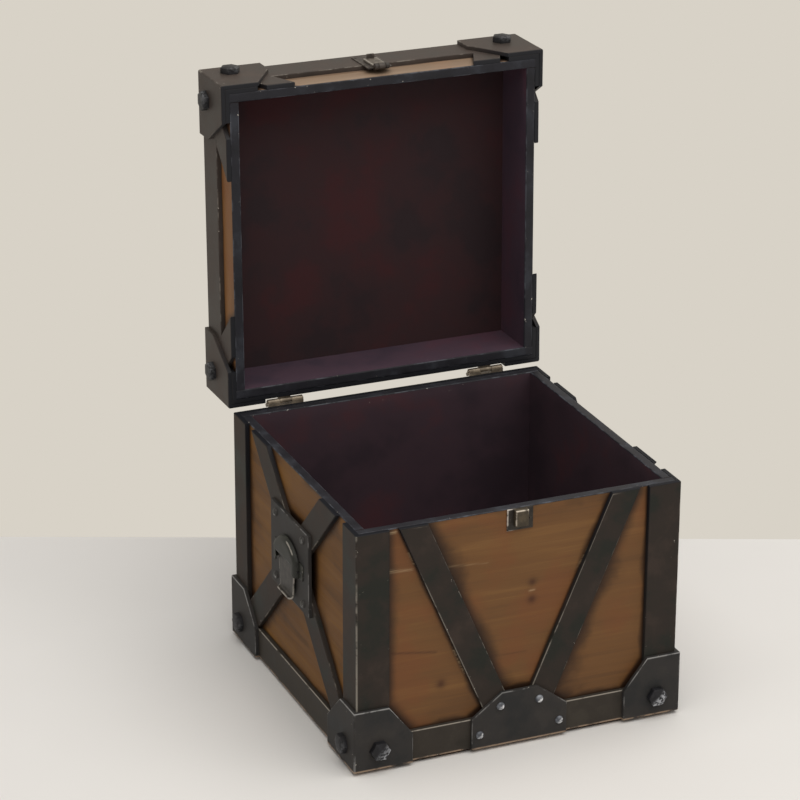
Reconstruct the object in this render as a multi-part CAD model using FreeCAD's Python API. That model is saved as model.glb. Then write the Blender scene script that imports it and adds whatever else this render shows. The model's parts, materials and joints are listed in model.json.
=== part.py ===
import FreeCAD, Part
import os
from math import cos, hypot, radians, sin

# A square wooden storage box with a hinged tray lid, dressed with painted straps.
# Millimetres. The front faces -Y, +Z is up, the origin is the centre of the underside.
# The lid stands open, as it does when the box is in use.

# Boards of the box and of the lid
BOX_WIDTH = 280.0
BOX_DEPTH = 272.0
BODY_HEIGHT = 212.0
LID_HEIGHT = 57.0
BOARD = 8.0
BASE_BOARD = 8.0
TOP_BOARD = 8.0
RIM_GAP = 0.5
OPEN_ANGLE = 91.0

# Straps laid on the boards
STRAP = 4.0
BARE_EDGE = 3.0
CORNER_LEG = 29.0
RAIL_HEIGHT = 27.0
HINGE_RAIL_HEIGHT = 24.0
BAND_HEIGHT = 32.0
FRONT_BRACE_WIDTH = 23.0
FRONT_BRACE_INSET = 46.0
FRONT_BRACE_FOOT = 16.0
SIDE_BRACE_WIDTH = 26.0
STRAP_ROUND = 1.2

# Corner brackets and the front gusset, laid over the straps
BRACKET = 3.5
BRACKET_HEIGHT = 54.0
BRACKET_HEAD = 31.0
BRACKET_FRONT_REACH = 52.0
BRACKET_SIDE_REACH = 59.0
LID_BRACKET_REACH = 56.0
LID_BRACKET_SHOULDER = 20.0
LID_BRACKET_HEAD = 33.0
BRACKET_ROUND = 1.6
GUSSET = 3.0
GUSSET_HALF_WIDTH = 43.0
GUSSET_HALF_TOP = 16.0
GUSSET_SHOULDER = 28.0
GUSSET_HEIGHT = 48.0

# Bolts of the brackets and rivets of the plates
BOLT_SIDES = 6
BOLT_ACROSS = 15.0
BOLT_HEAD = 6.0
BOLT_FLAT = 4.2
BOLT_TOP = 8.0
BOLT_TANG = 5.0
BOLT_GRIP = 5.0
BOLT_INSET = 22.0
BOLT_RISE = 18.0
LID_BOLT_DROP = 19.0
RIVET_RADIUS = 3.6
RIVET_HEIGHT = 2.4
RIVET_TANG = 2.4
GUSSET_RIVET_HIGH = 36.0
GUSSET_RIVET_NEAR = 17.5
GUSSET_RIVET_LOW = 13.0
GUSSET_RIVET_FAR = 36.0
FIT = 0.05
PIN_END = 0.8

# Side handles: a plate over the crossed braces, a hood, a pin and a drop pull
PLATE = 3.0
PLATE_WIDTH = 86.0
PLATE_HEIGHT = 74.0
PLATE_RIVET_SPAN = 62.0
PLATE_RIVET_RISE = 58.0
HOOD_WIDTH = 50.0
HOOD_BELOW_PIN = 6.0
HOOD_SPRING = 8.0
HOOD_RISE = 21.0
HOOD_WALL = 1.0
HOOD_BEVEL = 1.4
HOOD_MOUTH = 3.4
HOOD_SLIT = 1.2
HOOD_FOOT = 7.0
PULL_PIN = 0.9
PULL_PIN_STANDOFF = 2.2
PULL_KNUCKLE = 1.8
PULL_WIDTH = 36.0
PULL_FOOT_WIDTH = 29.0
PULL_DROP = 29.0
PULL_SHEET = 1.6
PULL_LIP = 4.5
PULL_SEAT = 0.3
PIN_BELOW_CENTRE = 2.0

# Lid hinges
HINGE_INSET = 45.0
HINGE_WIDTH = 32.0
HINGE_KNUCKLES = 3
HINGE_LEAF = 1.2
HINGE_LEAF_HEIGHT = 17.0
HINGE_BARREL = 2.4
HINGE_PIN = 1.1
HINGE_AXIS_RISE = 2.5
HINGE_STANDOFF = 0.3
HINGE_CRANK = 1.1
HINGE_CLEAR = 2.5
KNUCKLE_GAP = 0.25
LEAF_GAP = 0.4
STOP_TAIL = 4.5
STOP_TURN = 45.0
STOP_GAP = 0.1

# Latch: a plate and hasp on the lid, a catch block on the body
LATCH_PLATE = 1.2
LATCH_PLATE_WIDTH = 22.0
LATCH_PLATE_TOP = 49.0
LATCH_AXIS_RISE = 8.0
LATCH_BARREL = 2.8
LATCH_PIN = 1.1
LATCH_KNUCKLE = 6.0
LATCH_EAR = 3.3
HASP_WIDTH = 12.4
HASP_SHEET = 2.0
HASP_CRANK = 0.4
HASP_HOOK = 3.8
HASP_HOOK_SHEET = 1.8
HASP_HOOK_WIDTH = 6.5
HASP_CLEAR = 0.35
CATCH_PLATE = 1.2
CATCH_PLATE_WIDTH = 23.0
CATCH_PLATE_HEIGHT = 19.0
CATCH_WIDTH = 11.5
CATCH_HEIGHT = 14.3
CATCH_DROP = 1.0
CATCH_ROUND = 0.8

# Sizes worked out from the driving dimensions
HALF_WIDTH = BOX_WIDTH / 2
HALF_DEPTH = BOX_DEPTH / 2
LID_RIM = BODY_HEIGHT + RIM_GAP
LID_TOP = LID_RIM + LID_HEIGHT
RAIL_TOP = BARE_EDGE + RAIL_HEIGHT
BAND_BOTTOM = LID_TOP - BAND_HEIGHT
CROSS_HEIGHT = LID_TOP / 2
PLATE_FACE = STRAP + PLATE
BRACKET_FACE = STRAP + BRACKET
HINGE_SPREAD = HALF_WIDTH - HINGE_INSET
LID_BRACKET_BACK_REACH = HINGE_INSET + BRACKET_FACE - HINGE_WIDTH / 2 - HINGE_CLEAR
HINGE_OUT = STRAP + HINGE_STANDOFF + HINGE_CRANK + HINGE_BARREL
HINGE_Y = HALF_DEPTH + HINGE_OUT
HINGE_Z = BODY_HEIGHT + HINGE_AXIS_RISE
LATCH_OUT = STRAP + LATCH_BARREL
LATCH_Z = LID_RIM + LATCH_AXIS_RISE
PULL_Z = CROSS_HEIGHT - PIN_BELOW_CENTRE

Vec = FreeCAD.Vector
UP = Vec(0, 0, 1)


def flat_face(points):
    """A plane face through its corners."""
    return Part.Face(Part.makePolygon(points + points[:1]))


class Side:
    """One outer face of the box: 'along' runs to the right as seen from outside, 'out' leaves the board."""

    def __init__(self, name, along, out, half_length, reach):
        self.name = name
        self.along = along
        self.out = out
        self.half_length = half_length
        self.reach = reach

    def point(self, u, v, o):
        """Place u along the face, v above the floor and o outward from the board."""
        return self.along * u + UP * v + self.out * (self.reach + o)

    def slab(self, outline, low, high):
        """A plate of the given (u, v) outline, from height low to height high above the board."""
        face = flat_face([self.point(u, v, low) for u, v in outline])
        return face.extrude(self.out * (high - low))

    def strip(self, u0, u1, v0, v1, low, high):
        """A rectangular plate."""
        return self.slab([(u0, v0), (u1, v0), (u1, v1), (u0, v1)], low, high)

    def tang(self, u, v, low, high, width):
        """A square bar standing out of the face."""
        half = width / 2
        return self.strip(u - half, u + half, v - half, v + half, low, high)

    def bar(self, u0, u1, v, o, radius):
        """A round bar lying along the face."""
        return Part.makeCylinder(radius, u1 - u0, self.point(u0, v, o), self.along)


FRONT = Side("front", Vec(1, 0, 0), Vec(0, -1, 0), HALF_WIDTH, HALF_DEPTH)
BACK = Side("back", Vec(-1, 0, 0), Vec(0, 1, 0), HALF_WIDTH, HALF_DEPTH)
LEFT = Side("left", Vec(0, -1, 0), Vec(-1, 0, 0), HALF_DEPTH, HALF_WIDTH)
RIGHT = Side("right", Vec(0, 1, 0), Vec(1, 0, 0), HALF_DEPTH, HALF_WIDTH)
SIDES = [FRONT, BACK, LEFT, RIGHT]
CORNERS = {
    "front_left": (-1, -1),
    "front_right": (1, -1),
    "back_left": (-1, 1),
    "back_right": (1, 1),
}


def box(x0, x1, y0, y1, z0, z1):
    """An upright box between two corners."""
    return Part.makeBox(x1 - x0, y1 - y0, z1 - z0, Vec(x0, y0, z0))


def joined(shapes):
    """Fuse the shapes into one clean solid."""
    return shapes[0].multiFuse(shapes[1:]).removeSplitter()


def group(shapes):
    """Separate solids kept together in one node."""
    return Part.makeCompound([solid for shape in shapes for solid in shape.Solids])


def upright_edges(shape, x, y):
    """The vertical edges of a shape that stand at one place on plan."""
    found = []
    for edge in shape.Edges:
        first, last = edge.Vertexes[0].Point, edge.Vertexes[-1].Point
        stands = all(hypot(p.x - x, p.y - y) < FIT for p in (first, last))
        if stands and abs(first.z - last.z) > FIT:
            found.append(edge)
    return found


def four_boards(bottom, top):
    """Front and back boards at full width, with the two side boards between them."""
    inner = HALF_DEPTH - BOARD
    return {
        "front": box(-HALF_WIDTH, HALF_WIDTH, -HALF_DEPTH, -inner, bottom, top),
        "back": box(-HALF_WIDTH, HALF_WIDTH, inner, HALF_DEPTH, bottom, top),
        "left": box(-HALF_WIDTH, BOARD - HALF_WIDTH, -inner, inner, bottom, top),
        "right": box(HALF_WIDTH - BOARD, HALF_WIDTH, -inner, inner, bottom, top),
    }


def body_boards():
    """The open box: four walls and a base board held between them."""
    boards = {name + "_panel": shape for name, shape in four_boards(0, BODY_HEIGHT).items()}
    inner_x = HALF_WIDTH - BOARD
    inner_y = HALF_DEPTH - BOARD
    boards["bottom_board"] = box(-inner_x, inner_x, -inner_y, inner_y, 0, BASE_BOARD)
    return boards


def corner_angle(signs, bottom, top):
    """An angle strap wrapped round one upright corner, with its outer edge eased."""
    sx, sy = signs
    x, y = sx * (HALF_WIDTH + STRAP), sy * (HALF_DEPTH + STRAP)
    outline = [
        (x, y),
        (x - sx * CORNER_LEG, y),
        (x - sx * CORNER_LEG, y - sy * STRAP),
        (x - sx * STRAP, y - sy * STRAP),
        (x - sx * STRAP, y - sy * CORNER_LEG),
        (x, y - sy * CORNER_LEG),
    ]
    angle = flat_face([Vec(px, py, bottom) for px, py in outline]).extrude(UP * (top - bottom))
    return angle.makeFillet(STRAP_ROUND, upright_edges(angle, x, y))


def field_edge(side):
    """Half the length left free between the corner angles of a face."""
    return side.half_length + STRAP - CORNER_LEG


def bottom_rail(side):
    """The strap along the foot of one face, between the corner angles."""
    edge = field_edge(side)
    return side.strip(-edge, edge, BARE_EDGE, RAIL_TOP, 0, STRAP)


def diagonal(side, start, end, width, low, high):
    """A straight strap between two (u, v) points, run on past both of them by its width."""
    du, dv = end[0] - start[0], end[1] - start[1]
    length = hypot(du, dv)
    du, dv = du / length, dv / length
    nu, nv = -dv * width / 2, du * width / 2
    u0, v0 = start[0] - du * width, start[1] - dv * width
    u1, v1 = end[0] + du * width, end[1] + dv * width
    outline = [(u0 + nu, v0 + nv), (u1 + nu, v1 + nv), (u1 - nu, v1 - nv), (u0 - nu, v0 - nv)]
    return side.slab(outline, low, high)


def front_brace(sign, low, high, bottom, top):
    """One arm of the front V, cut to the field between two heights."""
    spread = HALF_WIDTH - FRONT_BRACE_INSET
    lean = (spread - FRONT_BRACE_FOOT) / (BODY_HEIGHT - RAIL_TOP)
    reach = FRONT_BRACE_FOOT + lean * (LID_TOP - RAIL_TOP)
    arm = diagonal(FRONT, (sign * FRONT_BRACE_FOOT, RAIL_TOP), (sign * reach, LID_TOP), FRONT_BRACE_WIDTH,
                   low, high)
    edge = field_edge(FRONT)
    return arm.common(FRONT.strip(-edge, edge, bottom, top, low, high))


def side_braces(side, bottom, top):
    """The two crossed straps of a side, cut to the field: one runs through, the other is in two."""
    edge = field_edge(side)
    field = side.strip(-edge, edge, bottom, top, 0, STRAP)
    arms = []
    for sign in (1, -1):
        start, end = (-sign * side.half_length, 0), (sign * side.half_length, LID_TOP)
        arms.append(diagonal(side, start, end, SIDE_BRACE_WIDTH, 0, STRAP).common(field))
    return group([arms[0], arms[1].cut(arms[0])])


def gusset_plate():
    """The half octagon that ties the two front braces to the rail."""
    foot, shoulder, head = BARE_EDGE, BARE_EDGE + GUSSET_SHOULDER, BARE_EDGE + GUSSET_HEIGHT
    outline = [
        (-GUSSET_HALF_WIDTH, foot),
        (GUSSET_HALF_WIDTH, foot),
        (GUSSET_HALF_WIDTH, shoulder),
        (GUSSET_HALF_TOP, head),
        (-GUSSET_HALF_TOP, head),
        (-GUSSET_HALF_WIDTH, shoulder),
    ]
    return FRONT.slab(outline, STRAP, STRAP + GUSSET)


def bracket_leg(side, corner_sign, outline):
    """One leg of a corner bracket; the outline's first value is the distance from the corner edge."""
    edge = side.half_length + BRACKET_FACE
    points = [(corner_sign * (edge - u), v) for u, v in outline]
    return side.slab(points, STRAP, BRACKET_FACE)


def corner_bracket(signs, front_outline, side_outline):
    """A bracket folded round one corner from two outlined legs."""
    sx, sy = signs
    face = FRONT if sy < 0 else BACK
    flank = LEFT if sx < 0 else RIGHT
    legs = [
        bracket_leg(face, sx * face.along.x, front_outline),
        bracket_leg(flank, sy * flank.along.y, side_outline),
    ]
    bracket = joined(legs)
    x, y = sx * (HALF_WIDTH + BRACKET_FACE), sy * (HALF_DEPTH + BRACKET_FACE)
    return bracket.makeFillet(BRACKET_ROUND, upright_edges(bracket, x, y))


def foot_outline(reach):
    """A body bracket's leg: wide along the rail, then cut back at a slant to the corner strap."""
    head = BARE_EDGE + BRACKET_HEIGHT
    return [(0, BARE_EDGE), (reach, BARE_EDGE), (reach, RAIL_TOP), (BRACKET_HEAD, head), (0, head)]


def lid_outline():
    """A lid bracket's leg: wide along the top edge, cut back at a slant down to the rim."""
    reach, shoulder = LID_BRACKET_REACH, LID_TOP - LID_BRACKET_SHOULDER
    return [(0, LID_TOP), (reach, LID_TOP), (reach, shoulder), (LID_BRACKET_HEAD, LID_RIM), (0, LID_RIM)]


def lid_back_outline():
    """The leg of a lid bracket on the back, cut off square beside the hinge."""
    reach = LID_BRACKET_BACK_REACH
    return [(0, LID_TOP), (reach, LID_TOP), (reach, LID_RIM), (0, LID_RIM)]


def hexagon(side, u, v, level, across):
    """The corners of a hexagon of the given width across its flats, parallel to a face."""
    step = radians(360 / BOLT_SIDES)
    radius = across / 2 / cos(step / 2)
    turns = [step * corner for corner in range(BOLT_SIDES)]
    return [side.point(u + radius * cos(turn), v + radius * sin(turn), level) for turn in turns]


def frustum(lower, upper):
    """A solid with plane sides between two outlines of the same number of corners."""
    rings = zip(lower, lower[1:] + lower[:1], upper[1:] + upper[:1], upper)
    sides = [flat_face(list(ring)) for ring in rings]
    return Part.Solid(Part.Shell([flat_face(lower), flat_face(upper)] + sides))


def bolt(side, u, v, base):
    """A hexagon head seated at height base, sloped to a small flat top, on a tang driven into the board."""
    foot = hexagon(side, u, v, base, BOLT_ACROSS)
    shoulder = hexagon(side, u, v, base + BOLT_FLAT, BOLT_ACROSS)
    top = hexagon(side, u, v, base + BOLT_HEAD, BOLT_TOP)
    tang = side.tang(u, v, -BOLT_GRIP, base, BOLT_TANG)
    return joined([frustum(foot, shoulder), frustum(shoulder, top), tang])


def rivet(side, u, v, base, depth):
    """A dome rivet seated at height base, with a square tang of the given depth below it."""
    ball = (RIVET_RADIUS ** 2 + RIVET_HEIGHT ** 2) / (2 * RIVET_HEIGHT)
    sphere = Part.makeSphere(ball, side.point(u, v, base + RIVET_HEIGHT - ball))
    dome = sphere.common(side.tang(u, v, base, base + 2 * RIVET_HEIGHT, 4 * RIVET_RADIUS))
    return joined([dome, side.tang(u, v, base - depth, base, RIVET_TANG)])


def bolt_places(v, base):
    """The bolts of one level: one beside each corner on each of the four faces."""
    places = []
    for side in SIDES:
        u = side.half_length + BRACKET_FACE - BOLT_INSET
        places += [(side, sign * u, v, base) for sign in (-1, 1)]
    return places


def gusset_rivet_places():
    """Two rivets high and close together, two low and wide apart."""
    high = (GUSSET_RIVET_NEAR, BARE_EDGE + GUSSET_RIVET_HIGH)
    low = (GUSSET_RIVET_FAR, BARE_EDGE + GUSSET_RIVET_LOW)
    base = STRAP + GUSSET
    return [(FRONT, sign * u, v, base, GUSSET) for u, v in (high, low) for sign in (-1, 1)]


def plate_rivet_places(side):
    """One rivet near each corner of a handle plate."""
    half, rise = PLATE_RIVET_SPAN / 2, PLATE_RIVET_RISE / 2
    signs = [(a, b) for a in (-1, 1) for b in (-1, 1)]
    return [(side, a * half, CROSS_HEIGHT + b * rise, PLATE_FACE, PLATE) for a, b in signs]


def handle_plate(side):
    """The plate over the crossing of the braces."""
    half, rise = PLATE_WIDTH / 2, PLATE_HEIGHT / 2
    return side.strip(-half, half, CROSS_HEIGHT - rise, CROSS_HEIGHT + rise, STRAP, PLATE_FACE)


def arch_face(side, half, spring, crown, foot, level):
    """A flat face with straight sides and an arched top."""
    start, end = side.point(-half, foot, level), side.point(half, foot, level)
    left, right = side.point(-half, spring, level), side.point(half, spring, level)
    edges = [
        Part.makeLine(left, start),
        Part.makeLine(start, end),
        Part.makeLine(end, right),
        Part.Arc(right, side.point(0, crown, level), left).toShape(),
    ]
    return Part.Face(Part.Wire(edges))


def pull_hood(side):
    """A pressed hood, arched on top and open below, whose two ears carry the pull's pin."""
    depth = PULL_PIN_STANDOFF + PULL_KNUCKLE + HOOD_WALL + HOOD_BEVEL / 2
    front = PLATE_FACE + depth
    half, foot = HOOD_WIDTH / 2, PULL_Z - HOOD_BELOW_PIN
    spring, crown = PULL_Z + HOOD_SPRING, PULL_Z + HOOD_RISE
    outer = arch_face(side, half, spring, crown, foot, PLATE_FACE).extrude(side.out * depth)
    face_level = side.reach + front - FIT
    rim = [edge for edge in outer.Edges if min(side.out.dot(p.Point) for p in edge.Vertexes) > face_level]
    rim = [edge for edge in rim if max(p.Point.z for p in edge.Vertexes) > foot + FIT]
    outer = outer.makeChamfer(HOOD_BEVEL, rim)
    inner = arch_face(side, half - HOOD_WALL, spring, crown - HOOD_WALL, foot - HOOD_WALL, PLATE_FACE)
    hollow = inner.extrude(side.out * (depth - HOOD_WALL))
    mouth = side.strip(HOOD_WALL - half, half - HOOD_WALL, foot - HOOD_WALL, PULL_Z + HOOD_MOUTH,
                       PLATE_FACE, front + HOOD_WALL)
    slit = side.strip(-half, half, spring + HOOD_SLIT, crown + HOOD_SLIT,
                      PLATE_FACE, PLATE_FACE + HOOD_SLIT)
    hood = outer.cut(hollow).cut(mouth).cut(slit)
    feet = []
    for sign in (-1, 1):
        ends = sorted((sign * (half - HOOD_WALL), sign * (half + HOOD_FOOT)))
        feet.append(side.strip(ends[0], ends[1], foot, spring, PLATE_FACE, PLATE_FACE + HOOD_WALL))
    bore = side.bar(-2 * half, 2 * half, PULL_Z, PLATE_FACE + PULL_PIN_STANDOFF, PULL_PIN + FIT)
    return joined([hood] + feet).cut(bore)


def pull_pin(side):
    """The pin across the ears of a hood, standing a little proud of them."""
    half, out = HOOD_WIDTH / 2 + PIN_END, PLATE_FACE + PULL_PIN_STANDOFF
    return side.bar(-half, half, PULL_Z, out, PULL_PIN)


def drop_pull(side):
    """A tapered sheet pull: a knuckle on the pin, a tongue, and a rolled foot with a finger lip."""
    out = PLATE_FACE + PULL_PIN_STANDOFF
    half, foot_half, foot = PULL_WIDTH / 2, PULL_FOOT_WIDTH / 2, PULL_Z - PULL_DROP
    outline = [(-half, PULL_Z), (-foot_half, foot), (foot_half, foot), (half, PULL_Z)]
    tongue = side.slab(outline, out - PULL_SHEET / 2, out + PULL_SHEET / 2)
    knuckle = side.bar(-half, half, PULL_Z, out, PULL_KNUCKLE)
    roll = side.bar(-foot_half, foot_half, foot, out, PULL_PIN_STANDOFF - PULL_SEAT)
    lip = side.strip(-foot_half, foot_half, foot - PULL_SHEET / 2, foot + PULL_SHEET / 2,
                     out, out + PULL_LIP)
    pull = joined([tongue, knuckle, roll, lip])
    return pull.cut(side.bar(-2 * half, 2 * half, PULL_Z, out, PULL_PIN + FIT))


def latch_catch():
    """The catch on the body: a small plate with a rounded block for the hasp to hook under."""
    top, plate_half = BODY_HEIGHT - CATCH_DROP / 2, CATCH_PLATE_WIDTH / 2
    plate = FRONT.strip(-plate_half, plate_half, top - CATCH_PLATE_HEIGHT, top, 0, CATCH_PLATE)
    head = BODY_HEIGHT - CATCH_DROP
    face = LATCH_OUT + HASP_CRANK - HASP_SHEET / 2 - HASP_CLEAR
    half = CATCH_WIDTH / 2
    block = FRONT.strip(-half, half, head - CATCH_HEIGHT, head, CATCH_PLATE / 2, face)
    rim = [edge for edge in block.Edges if max(p.Y for p in edge.Vertexes) < -HALF_DEPTH - face + FIT]
    return joined([plate, block.makeFillet(CATCH_ROUND, rim)])


def latch_plate():
    """The latch's plate on the lid, rolled into two ears round the pin."""
    half = LATCH_PLATE_WIDTH / 2
    clear = LATCH_Z + LATCH_BARREL + LEAF_GAP
    parts = [FRONT.strip(-half, half, clear, LID_RIM + LATCH_PLATE_TOP, STRAP, STRAP + LATCH_PLATE)]
    for sign in (-1, 1):
        near = LATCH_KNUCKLE / 2 + KNUCKLE_GAP
        ends = sorted((sign * near, sign * (near + LATCH_EAR)))
        parts.append(FRONT.strip(ends[0], ends[1], LATCH_Z, clear, STRAP, STRAP + LATCH_PLATE))
        parts.append(FRONT.bar(ends[0], ends[1], LATCH_Z, LATCH_OUT, LATCH_BARREL))
    bore = FRONT.bar(-half, half, LATCH_Z, LATCH_OUT, LATCH_PIN + FIT)
    return joined(parts).cut(bore)


def latch_pin():
    """The pin of the latch, standing a little proud of the plate's ears."""
    half = LATCH_KNUCKLE / 2 + KNUCKLE_GAP + LATCH_EAR + PIN_END
    return FRONT.bar(-half, half, LATCH_Z, LATCH_OUT, LATCH_PIN)


def latch_hasp():
    """The hasp turned back over its plate: a knuckle, a strap and the hook that grips the catch."""
    half = LATCH_KNUCKLE / 2
    middle = LATCH_OUT - HASP_CRANK
    low, high = middle - HASP_SHEET / 2, middle + HASP_SHEET / 2
    root = LATCH_Z + LATCH_BARREL + LEAF_GAP
    grip = LATCH_Z - (BODY_HEIGHT - CATCH_DROP - CATCH_HEIGHT) + HASP_CLEAR
    tip = LATCH_Z + grip + HASP_HOOK_SHEET
    hook = HASP_HOOK_WIDTH / 2
    parts = [
        FRONT.bar(-half, half, LATCH_Z, LATCH_OUT, LATCH_BARREL),
        FRONT.strip(-half, half, LATCH_Z, root, low, high),
        FRONT.strip(-HASP_WIDTH / 2, HASP_WIDTH / 2, root, tip, low, high),
        FRONT.strip(-hook, hook, tip - HASP_HOOK_SHEET, tip, low, high + HASP_HOOK),
    ]
    bore = FRONT.bar(-HASP_WIDTH, HASP_WIDTH, LATCH_Z, LATCH_OUT, LATCH_PIN + FIT)
    return joined(parts).cut(bore)


def hinge_knuckles():
    """The (start, end) of the three knuckles of a hinge, from its left end."""
    length = (HINGE_WIDTH + KNUCKLE_GAP) / HINGE_KNUCKLES - KNUCKLE_GAP
    starts = [step * (length + KNUCKLE_GAP) - HINGE_WIDTH / 2 for step in range(HINGE_KNUCKLES)]
    return [(start, start + length) for start in starts]


def stop_tail(centre, knuckles, low, high, turn):
    """The flange outside a leaf's knuckles, which meets the other leaf's flange when the lid is open."""
    half, skin = HINGE_WIDTH / 2, HINGE_OUT + HINGE_BARREL
    root, tip = skin + KNUCKLE_GAP, skin + STOP_TAIL
    parts = [BACK.strip(centre - half, centre + half, HINGE_Z + low, HINGE_Z + high, root, tip)]
    for start, end in knuckles:
        parts.append(BACK.strip(centre + start, centre + end, HINGE_Z + low, HINGE_Z + high, HINGE_OUT, root))
    tail = joined(parts)
    tail.rotate(Vec(0, HINGE_Y, HINGE_Z), Vec(1, 0, 0), turn)
    return tail


def hinge_leaf(centre, knuckles, leaf_low, leaf_high, tab_low, tab_high, tail):
    """A hinge leaf screwed to a strap, rolled into the given knuckles, with its stop flange."""
    half, tab = HINGE_WIDTH / 2, STRAP + HINGE_STANDOFF
    neck = tab + HINGE_CRANK + HINGE_LEAF
    parts = [tail, BACK.strip(centre - half, centre + half, leaf_low, leaf_high, STRAP, STRAP + HINGE_LEAF)]
    for start, end in knuckles:
        parts.append(BACK.strip(centre + start, centre + end, tab_low, tab_high, tab, neck))
        parts.append(BACK.bar(centre + start, centre + end, HINGE_Z, HINGE_OUT, HINGE_BARREL))
    bore = BACK.bar(centre - HINGE_WIDTH, centre + HINGE_WIDTH, HINGE_Z, HINGE_OUT, HINGE_PIN + FIT)
    return joined(parts).cut(bore)


def hinge_body_leaf(centre):
    """The lower leaf, on the hinge rail of the body, with the two outer knuckles."""
    top = HINGE_Z - HINGE_BARREL - LEAF_GAP
    first, _, last = hinge_knuckles()
    tail = stop_tail(centre, [first, last], -HINGE_LEAF, 0, -STOP_TURN)
    return hinge_leaf(centre, [first, last], top - HINGE_LEAF_HEIGHT, top, top - HINGE_LEAF, HINGE_Z, tail)


def hinge_lid_leaf(centre):
    """The upper leaf, on the back strap of the lid, with the middle knuckle."""
    bottom = HINGE_Z + HINGE_BARREL + LEAF_GAP
    top = bottom + HINGE_LEAF_HEIGHT
    middle = hinge_knuckles()[1]
    tail = stop_tail(centre, [middle], STOP_GAP, STOP_GAP + HINGE_LEAF, OPEN_ANGLE - STOP_TURN)
    return hinge_leaf(centre, [middle], bottom, top, HINGE_Z, bottom + HINGE_LEAF, tail)


def hinge_pin(centre):
    """A hinge pin, standing a little proud of the barrel."""
    half = HINGE_WIDTH / 2 + PIN_END
    return BACK.bar(centre - half, centre + half, HINGE_Z, HINGE_OUT, HINGE_PIN)


def drill(pieces, fasteners, tang):
    """Cut the square hole for a fastener's tang in every piece that it passes through."""
    for side, u, v, low, high in fasteners:
        tool = side.tang(u, v, low, high, tang + 2 * FIT)
        for name, shape in pieces.items():
            if shape.BoundBox.intersect(tool.BoundBox) and shape.common(tool).Volume > FIT:
                pieces[name] = shape.cut(tool)


def body_pieces():
    """Everything fixed to the body of the box."""
    pieces = body_boards()
    for name, signs in CORNERS.items():
        pieces[name + "_corner_angle"] = corner_angle(signs, BARE_EDGE, BODY_HEIGHT)
    for side in SIDES:
        pieces[side.name + "_bottom_rail"] = bottom_rail(side)
    edge, rail_foot = field_edge(BACK), BODY_HEIGHT - HINGE_RAIL_HEIGHT
    pieces["back_hinge_rail"] = BACK.strip(-edge, edge, rail_foot, BODY_HEIGHT, 0, STRAP)
    for name, sign in (("left", -1), ("right", 1)):
        pieces["front_" + name + "_brace"] = front_brace(sign, 0, STRAP, RAIL_TOP, BODY_HEIGHT)
    for side in (LEFT, RIGHT):
        pieces[side.name + "_side_braces"] = side_braces(side, RAIL_TOP, BODY_HEIGHT)
        pieces[side.name + "_handle_plate"] = handle_plate(side)
    pieces["front_gusset_plate"] = gusset_plate()
    for name, signs in CORNERS.items():
        pieces[name + "_corner_bracket"] = corner_bracket(
            signs, foot_outline(BRACKET_FRONT_REACH), foot_outline(BRACKET_SIDE_REACH))
    bolts = bolt_places(BARE_EDGE + BOLT_RISE, BRACKET_FACE)
    drill(pieces, [(side, u, v, -BOLT_GRIP, base) for side, u, v, base in bolts], BOLT_TANG)
    rivets = gusset_rivet_places() + plate_rivet_places(LEFT) + plate_rivet_places(RIGHT)
    drill(pieces, [(side, u, v, base - depth, base) for side, u, v, base, depth in rivets], RIVET_TANG)
    pieces["body_corner_bolts"] = group([bolt(*place) for place in bolts])
    pieces["dome_rivets"] = group([rivet(*place) for place in rivets])
    return pieces


def handle_pieces():
    """The two side handles on their plates."""
    pieces = {}
    for side in (LEFT, RIGHT):
        pieces[side.name + "_pull_hood"] = pull_hood(side)
        pieces[side.name + "_drop_pull"] = drop_pull(side)
    pieces["pull_pins"] = group([pull_pin(side) for side in (LEFT, RIGHT)])
    return pieces


def lid_pieces():
    """The tray lid and all that it carries, in its closed place."""
    ceiling = LID_TOP - TOP_BOARD
    pieces = {"lid_" + name + "_wall": shape for name, shape in four_boards(LID_RIM, ceiling).items()}
    pieces["lid_top_board"] = box(-HALF_WIDTH, HALF_WIDTH, -HALF_DEPTH, HALF_DEPTH, ceiling, LID_TOP)
    angles = [corner_angle(signs, LID_RIM, LID_TOP) for signs in CORNERS.values()]
    pieces["lid_corner_angles"] = group(angles)
    for side in SIDES:
        edge = field_edge(side)
        foot = LID_RIM if side is BACK else BAND_BOTTOM
        pieces["lid_" + side.name + "_band"] = side.strip(-edge, edge, foot, LID_TOP, 0, STRAP)
    ends = [front_brace(sign, 0, STRAP, LID_RIM, BAND_BOTTOM) for sign in (-1, 1)]
    pieces["lid_front_brace_ends"] = group(ends)
    for side in (LEFT, RIGHT):
        pieces["lid_" + side.name + "_brace_ends"] = side_braces(side, LID_RIM, BAND_BOTTOM)
    for name, signs in CORNERS.items():
        face_leg = lid_outline() if signs[1] < 0 else lid_back_outline()
        pieces["lid_" + name + "_bracket"] = corner_bracket(signs, face_leg, lid_outline())
    bolts = bolt_places(LID_TOP - LID_BOLT_DROP, BRACKET_FACE)
    drill(pieces, [(side, u, v, -BOLT_GRIP, base) for side, u, v, base in bolts], BOLT_TANG)
    pieces["lid_corner_bolts"] = group([bolt(*place) for place in bolts])
    pieces["latch_plate"] = latch_plate()
    pieces["latch_pin"] = latch_pin()
    pieces["latch_hasp"] = latch_hasp()
    for name, sign in (("left", 1), ("right", -1)):
        pieces[name + "_hinge_lid_leaf"] = hinge_lid_leaf(sign * HINGE_SPREAD)
    return pieces


def opened(shape):
    """Swing a closed lid piece back about the hinge axis."""
    shape.rotate(Vec(0, HINGE_Y, HINGE_Z), Vec(1, 0, 0), -OPEN_ANGLE)
    return shape


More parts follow.
